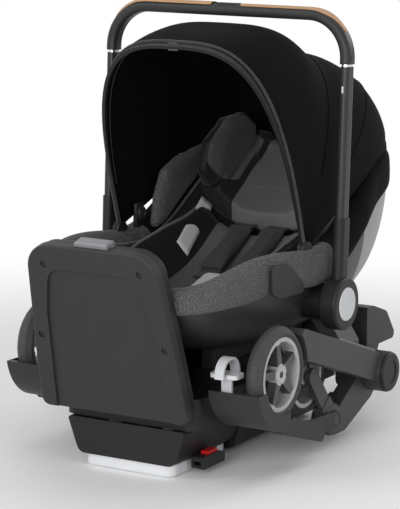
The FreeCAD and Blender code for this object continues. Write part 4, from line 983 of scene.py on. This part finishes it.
# %% turned parts and blocks
def turned_part(name, centre, axis, profile, material, body, turns=32):
    """Solid of revolution: profile gives (distance along the axis, radius) pairs."""
    axis = Vector(axis).normalized()
    side = axis.orthogonal().normalized()
    other = axis.cross(side)
    points = []
    for out, radius in profile:
        for k in range(turns):
            angle = 2 * math.pi * k / turns
            points.append(Vector(centre) + axis * out + side * (math.cos(angle) * radius)
                          + other * (math.sin(angle) * radius))
    faces = grid_faces(len(profile), turns, False, True)
    faces.append(tuple(range(turns)))
    faces.append(tuple(range((len(profile) - 1) * turns, len(profile) * turns))[::-1])
    made = add_mesh(name, points, faces, material, body)
    modifier(made, "BEVEL", width=0.0004, segments=2, limit_method="ANGLE")
    return made


def soft_block(name, low, high, radius, material, body):
    """Box with rounded edges."""
    (x0, y0, z0), (x1, y1, z1) = low, high
    points = [(x, y, z) for x in (x0, x1) for y in (y0, y1) for z in (z0, z1)]
    faces = [(0, 1, 3, 2), (4, 6, 7, 5), (0, 4, 5, 1), (2, 3, 7, 6), (0, 2, 6, 4), (1, 5, 7, 3)]
    made = add_mesh(name, points, faces, material, body)
    modifier(made, "BEVEL", width=radius, segments=3)
    return made


knob_profile = [(0.0, 0.0105), (0.0035, 0.0105), (0.005, 0.0092), (0.005, 0.0068), (0.0036, 0.0062),
                (0.0036, 0.0040), (0.0046, 0.0034)]
screw_profile = [(0.0, 0.0034), (0.0008, 0.0034), (0.0012, 0.0028), (0.0012, 0.0016), (0.0004, 0.0012)]
BLOCK_OUTER_X = 0.156
BLOCK_INNER_X = 0.1485
BLOCK_Y = (0.006, 0.029)
BLOCK_Z = (0.300, 0.338)
KNOB_Y = 0.017
KNOB_Z = 0.322
BLOCK_ROUND = 0.003
for side, sign in (("right", 1), ("left", -1)):
    soft_block("pivot_block_" + side, (sign * BLOCK_OUTER_X, BLOCK_Y[0], BLOCK_Z[0]),
               (sign * BLOCK_INNER_X, BLOCK_Y[1], BLOCK_Z[1]), BLOCK_ROUND, hard["dark_plastic"],
               "seat")
    turned_part("pivot_knob_" + side, (sign * BLOCK_INNER_X, KNOB_Y, KNOB_Z), (-sign, 0, 0), knob_profile,
                hard["grip_plastic"], "seat")

# %% elastic tab on the cover roll
TAB_FROM_Y = -0.284
TAB_SIZE = 0.014
TAB_LIFT = Vector((0.001, -0.0004, 0))
OUTSIDE = Vector((0.3, -0.05, 0.0))
INWARDS = Vector((-1.0, 0.3, 0.0))
cover_skin = BVHTree.FromPolygons([v.co for v in cover.data.vertices],
                                  [face.vertices for face in cover.data.polygons])
tab_rows = []
for y in np.linspace(TAB_FROM_Y, TAB_FROM_Y + TAB_SIZE, 4):
    for z in np.linspace(rim_height(y), rim_height(y) - TAB_SIZE, 4):
        spot = cover_skin.ray_cast(OUTSIDE + Vector((0, y, z)), INWARDS)[0]
        tab_rows.append(spot + TAB_LIFT)
elastic = add_mesh("elastic_tab", tab_rows, grid_faces(4, 4), BLACK_CLOTH, "seat")
modifier(elastic, "SOLIDIFY", thickness=0.002, offset=0.0)
modifier(elastic, "BEVEL", width=0.0005, segments=2)

# %% label tape on the left wall of the padding, without print
# corners on the padding: top at the foot end, top and bottom at the head end, bottom at the foot end
TAPE_CORNERS = ((-0.0989, 0.0351, 0.2759), (-0.1146, 0.1377, 0.3312), (-0.0989, 0.1452, 0.3165),
                (-0.0802, 0.0359, 0.2551))
TAPE_LIFT = np.array((0.0052, -0.0016, 0.0034))
tape_points = []
a, b, c, d = (np.array(corner) for corner in TAPE_CORNERS)
for u in np.linspace(0, 1, 12):
    for v in np.linspace(0, 1, 5):
        tape_points.append((a * (1 - u) + b * u) * (1 - v) + (d * (1 - u) + c * u) * v + TAPE_LIFT)
tape = add_mesh("blank_label", tape_points, grid_faces(12, 5), LABEL_CLOTH, "seat")
modifier(tape, "SOLIDIFY", thickness=0.0008, offset=0.0)

# %% windows in the tubes and screws on the grip
HANDLE_PIVOT = Vector(joints["handle_fold"]["pos_m"])
LEAN = math.radians(3.0)
tube_low, tube_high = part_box("lower_tube_right")
arm_x = (tube_low.x + tube_high.x) / 2


def on_arm(x, forward, up):
    """A place on the upright handle: across, forward of its middle plane, up from its pivot."""
    return Vector((x, HANDLE_PIVOT.y + forward * math.cos(LEAN) + up * math.sin(LEAN),
                   HANDLE_PIVOT.z + up * math.cos(LEAN) - forward * math.sin(LEAN)))


WINDOW_UP = 0.312
WINDOW_TALL = 0.0055
WINDOW_HALF = 0.0016
WINDOW_FORWARD = -0.01215
WINDOW_POINTS = 24
SCREW_OUT = 0.0082
SCREW_FORWARD = -0.001
SCREW_UP = 0.357
for side, sign in (("right", 1), ("left", -1)):
    points = []
    for k in range(WINDOW_POINTS):
        angle = 2 * math.pi * k / WINDOW_POINTS
        tall = WINDOW_TALL * math.copysign(abs(math.sin(angle)) ** 0.5, math.sin(angle))
        wide = WINDOW_HALF * math.copysign(abs(math.cos(angle)) ** 0.8, math.cos(angle))
        points.append(on_arm(sign * arm_x + wide, WINDOW_FORWARD, WINDOW_UP + tall))
    window = add_mesh("height_window_" + side, points, [tuple(range(WINDOW_POINTS))], hard["pale_plastic"],
                      "lower_tubes")
    modifier(window, "SOLIDIFY", thickness=0.0006, offset=0.0)
    turned_part("grip_screw_" + side, on_arm(sign * (arm_x + SCREW_OUT), SCREW_FORWARD, SCREW_UP),
                (sign, 0, 0), screw_profile, hard["screw_steel"], "grip", 20)
print("details placed")

# %% [markdown]
# ## Leather on the grip
# Two leather strips lie along the top of the grip and taper away round its corners. Each is
# swept along the grip's own outer line: straight, then part of the way round its corner.

# %% grip leather
GRIP_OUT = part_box("grip")[1].x
CORNER = 0.0705
CROWN_X = 0.09
above = on_arm(CROWN_X, 0, 0.6)
below = on_arm(CROWN_X, 0, 0)
crown = (hit("grip", above, (below - above).normalized()) - below).length
STRIP_THICK = 0.0022
STRIP_HALF = 0.0108
STRIP_FROM_X = 0.024
STRIP_TURN = math.radians(58)
TAPER_POINTS = 9
TAPER_POWER = 0.8
TIP_WIDTH = 0.12
TIP_RISE = 0.4
BUTT_WIDTH = 0.86
# cross-section: share of the half width, height above the grip
STRIP_SECTION = ((-1, -0.0016), (-0.97, 0.0004), (-0.8, 0.0016), (-0.4, STRIP_THICK),
                 (0.4, STRIP_THICK), (0.8, 0.0016), (0.97, 0.0004), (1, -0.0016))
for side, sign in (("right", 1), ("left", -1)):
    rows = []
    straight_to = GRIP_OUT - CORNER
    line = [(x, crown, 0.0) for x in np.linspace(STRIP_FROM_X, straight_to, 14)]
    for turn in np.linspace(0, STRIP_TURN, 12)[1:]:
        line.append((straight_to + CORNER * math.sin(turn), crown - CORNER + CORNER * math.cos(turn), turn))
    for i, (x, up, turn) in enumerate(line):
        left = len(line) - 1 - i
        width = STRIP_HALF * min(1.0, TIP_WIDTH + (left / TAPER_POINTS) ** TAPER_POWER)
        width *= BUTT_WIDTH if i == 0 else 1.0
        for share, lift in STRIP_SECTION:
            rise = lift * (TIP_RISE if left == 0 else 1.0)
            out = x + math.sin(turn) * rise
            rows.append(on_arm(sign * out, share * width, up + math.cos(turn) * rise))
    strip = add_mesh("grip_leather_" + side, rows, grid_faces(len(line), len(STRIP_SECTION)), LEATHER,
                     "grip")
    modifier(strip, "SOLIDIFY", thickness=0.0012, offset=-1.0)
    modifier(strip, "SUBSURF", levels=2, render_levels=2)
    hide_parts("grip_trim")
print("grip crown at", round(crown, 4))

# %% [markdown]
# ## Closing
# Soft nodes that stay visible would look like plain blocks, so this prints any that are left.

# %% last checks
bare = [name for name, piece in nodes.items() if not piece.hide_render and record_slots[name] not in hard
        and "rim" not in name and "tyre" not in name]
print("nodes without a finish", bare)
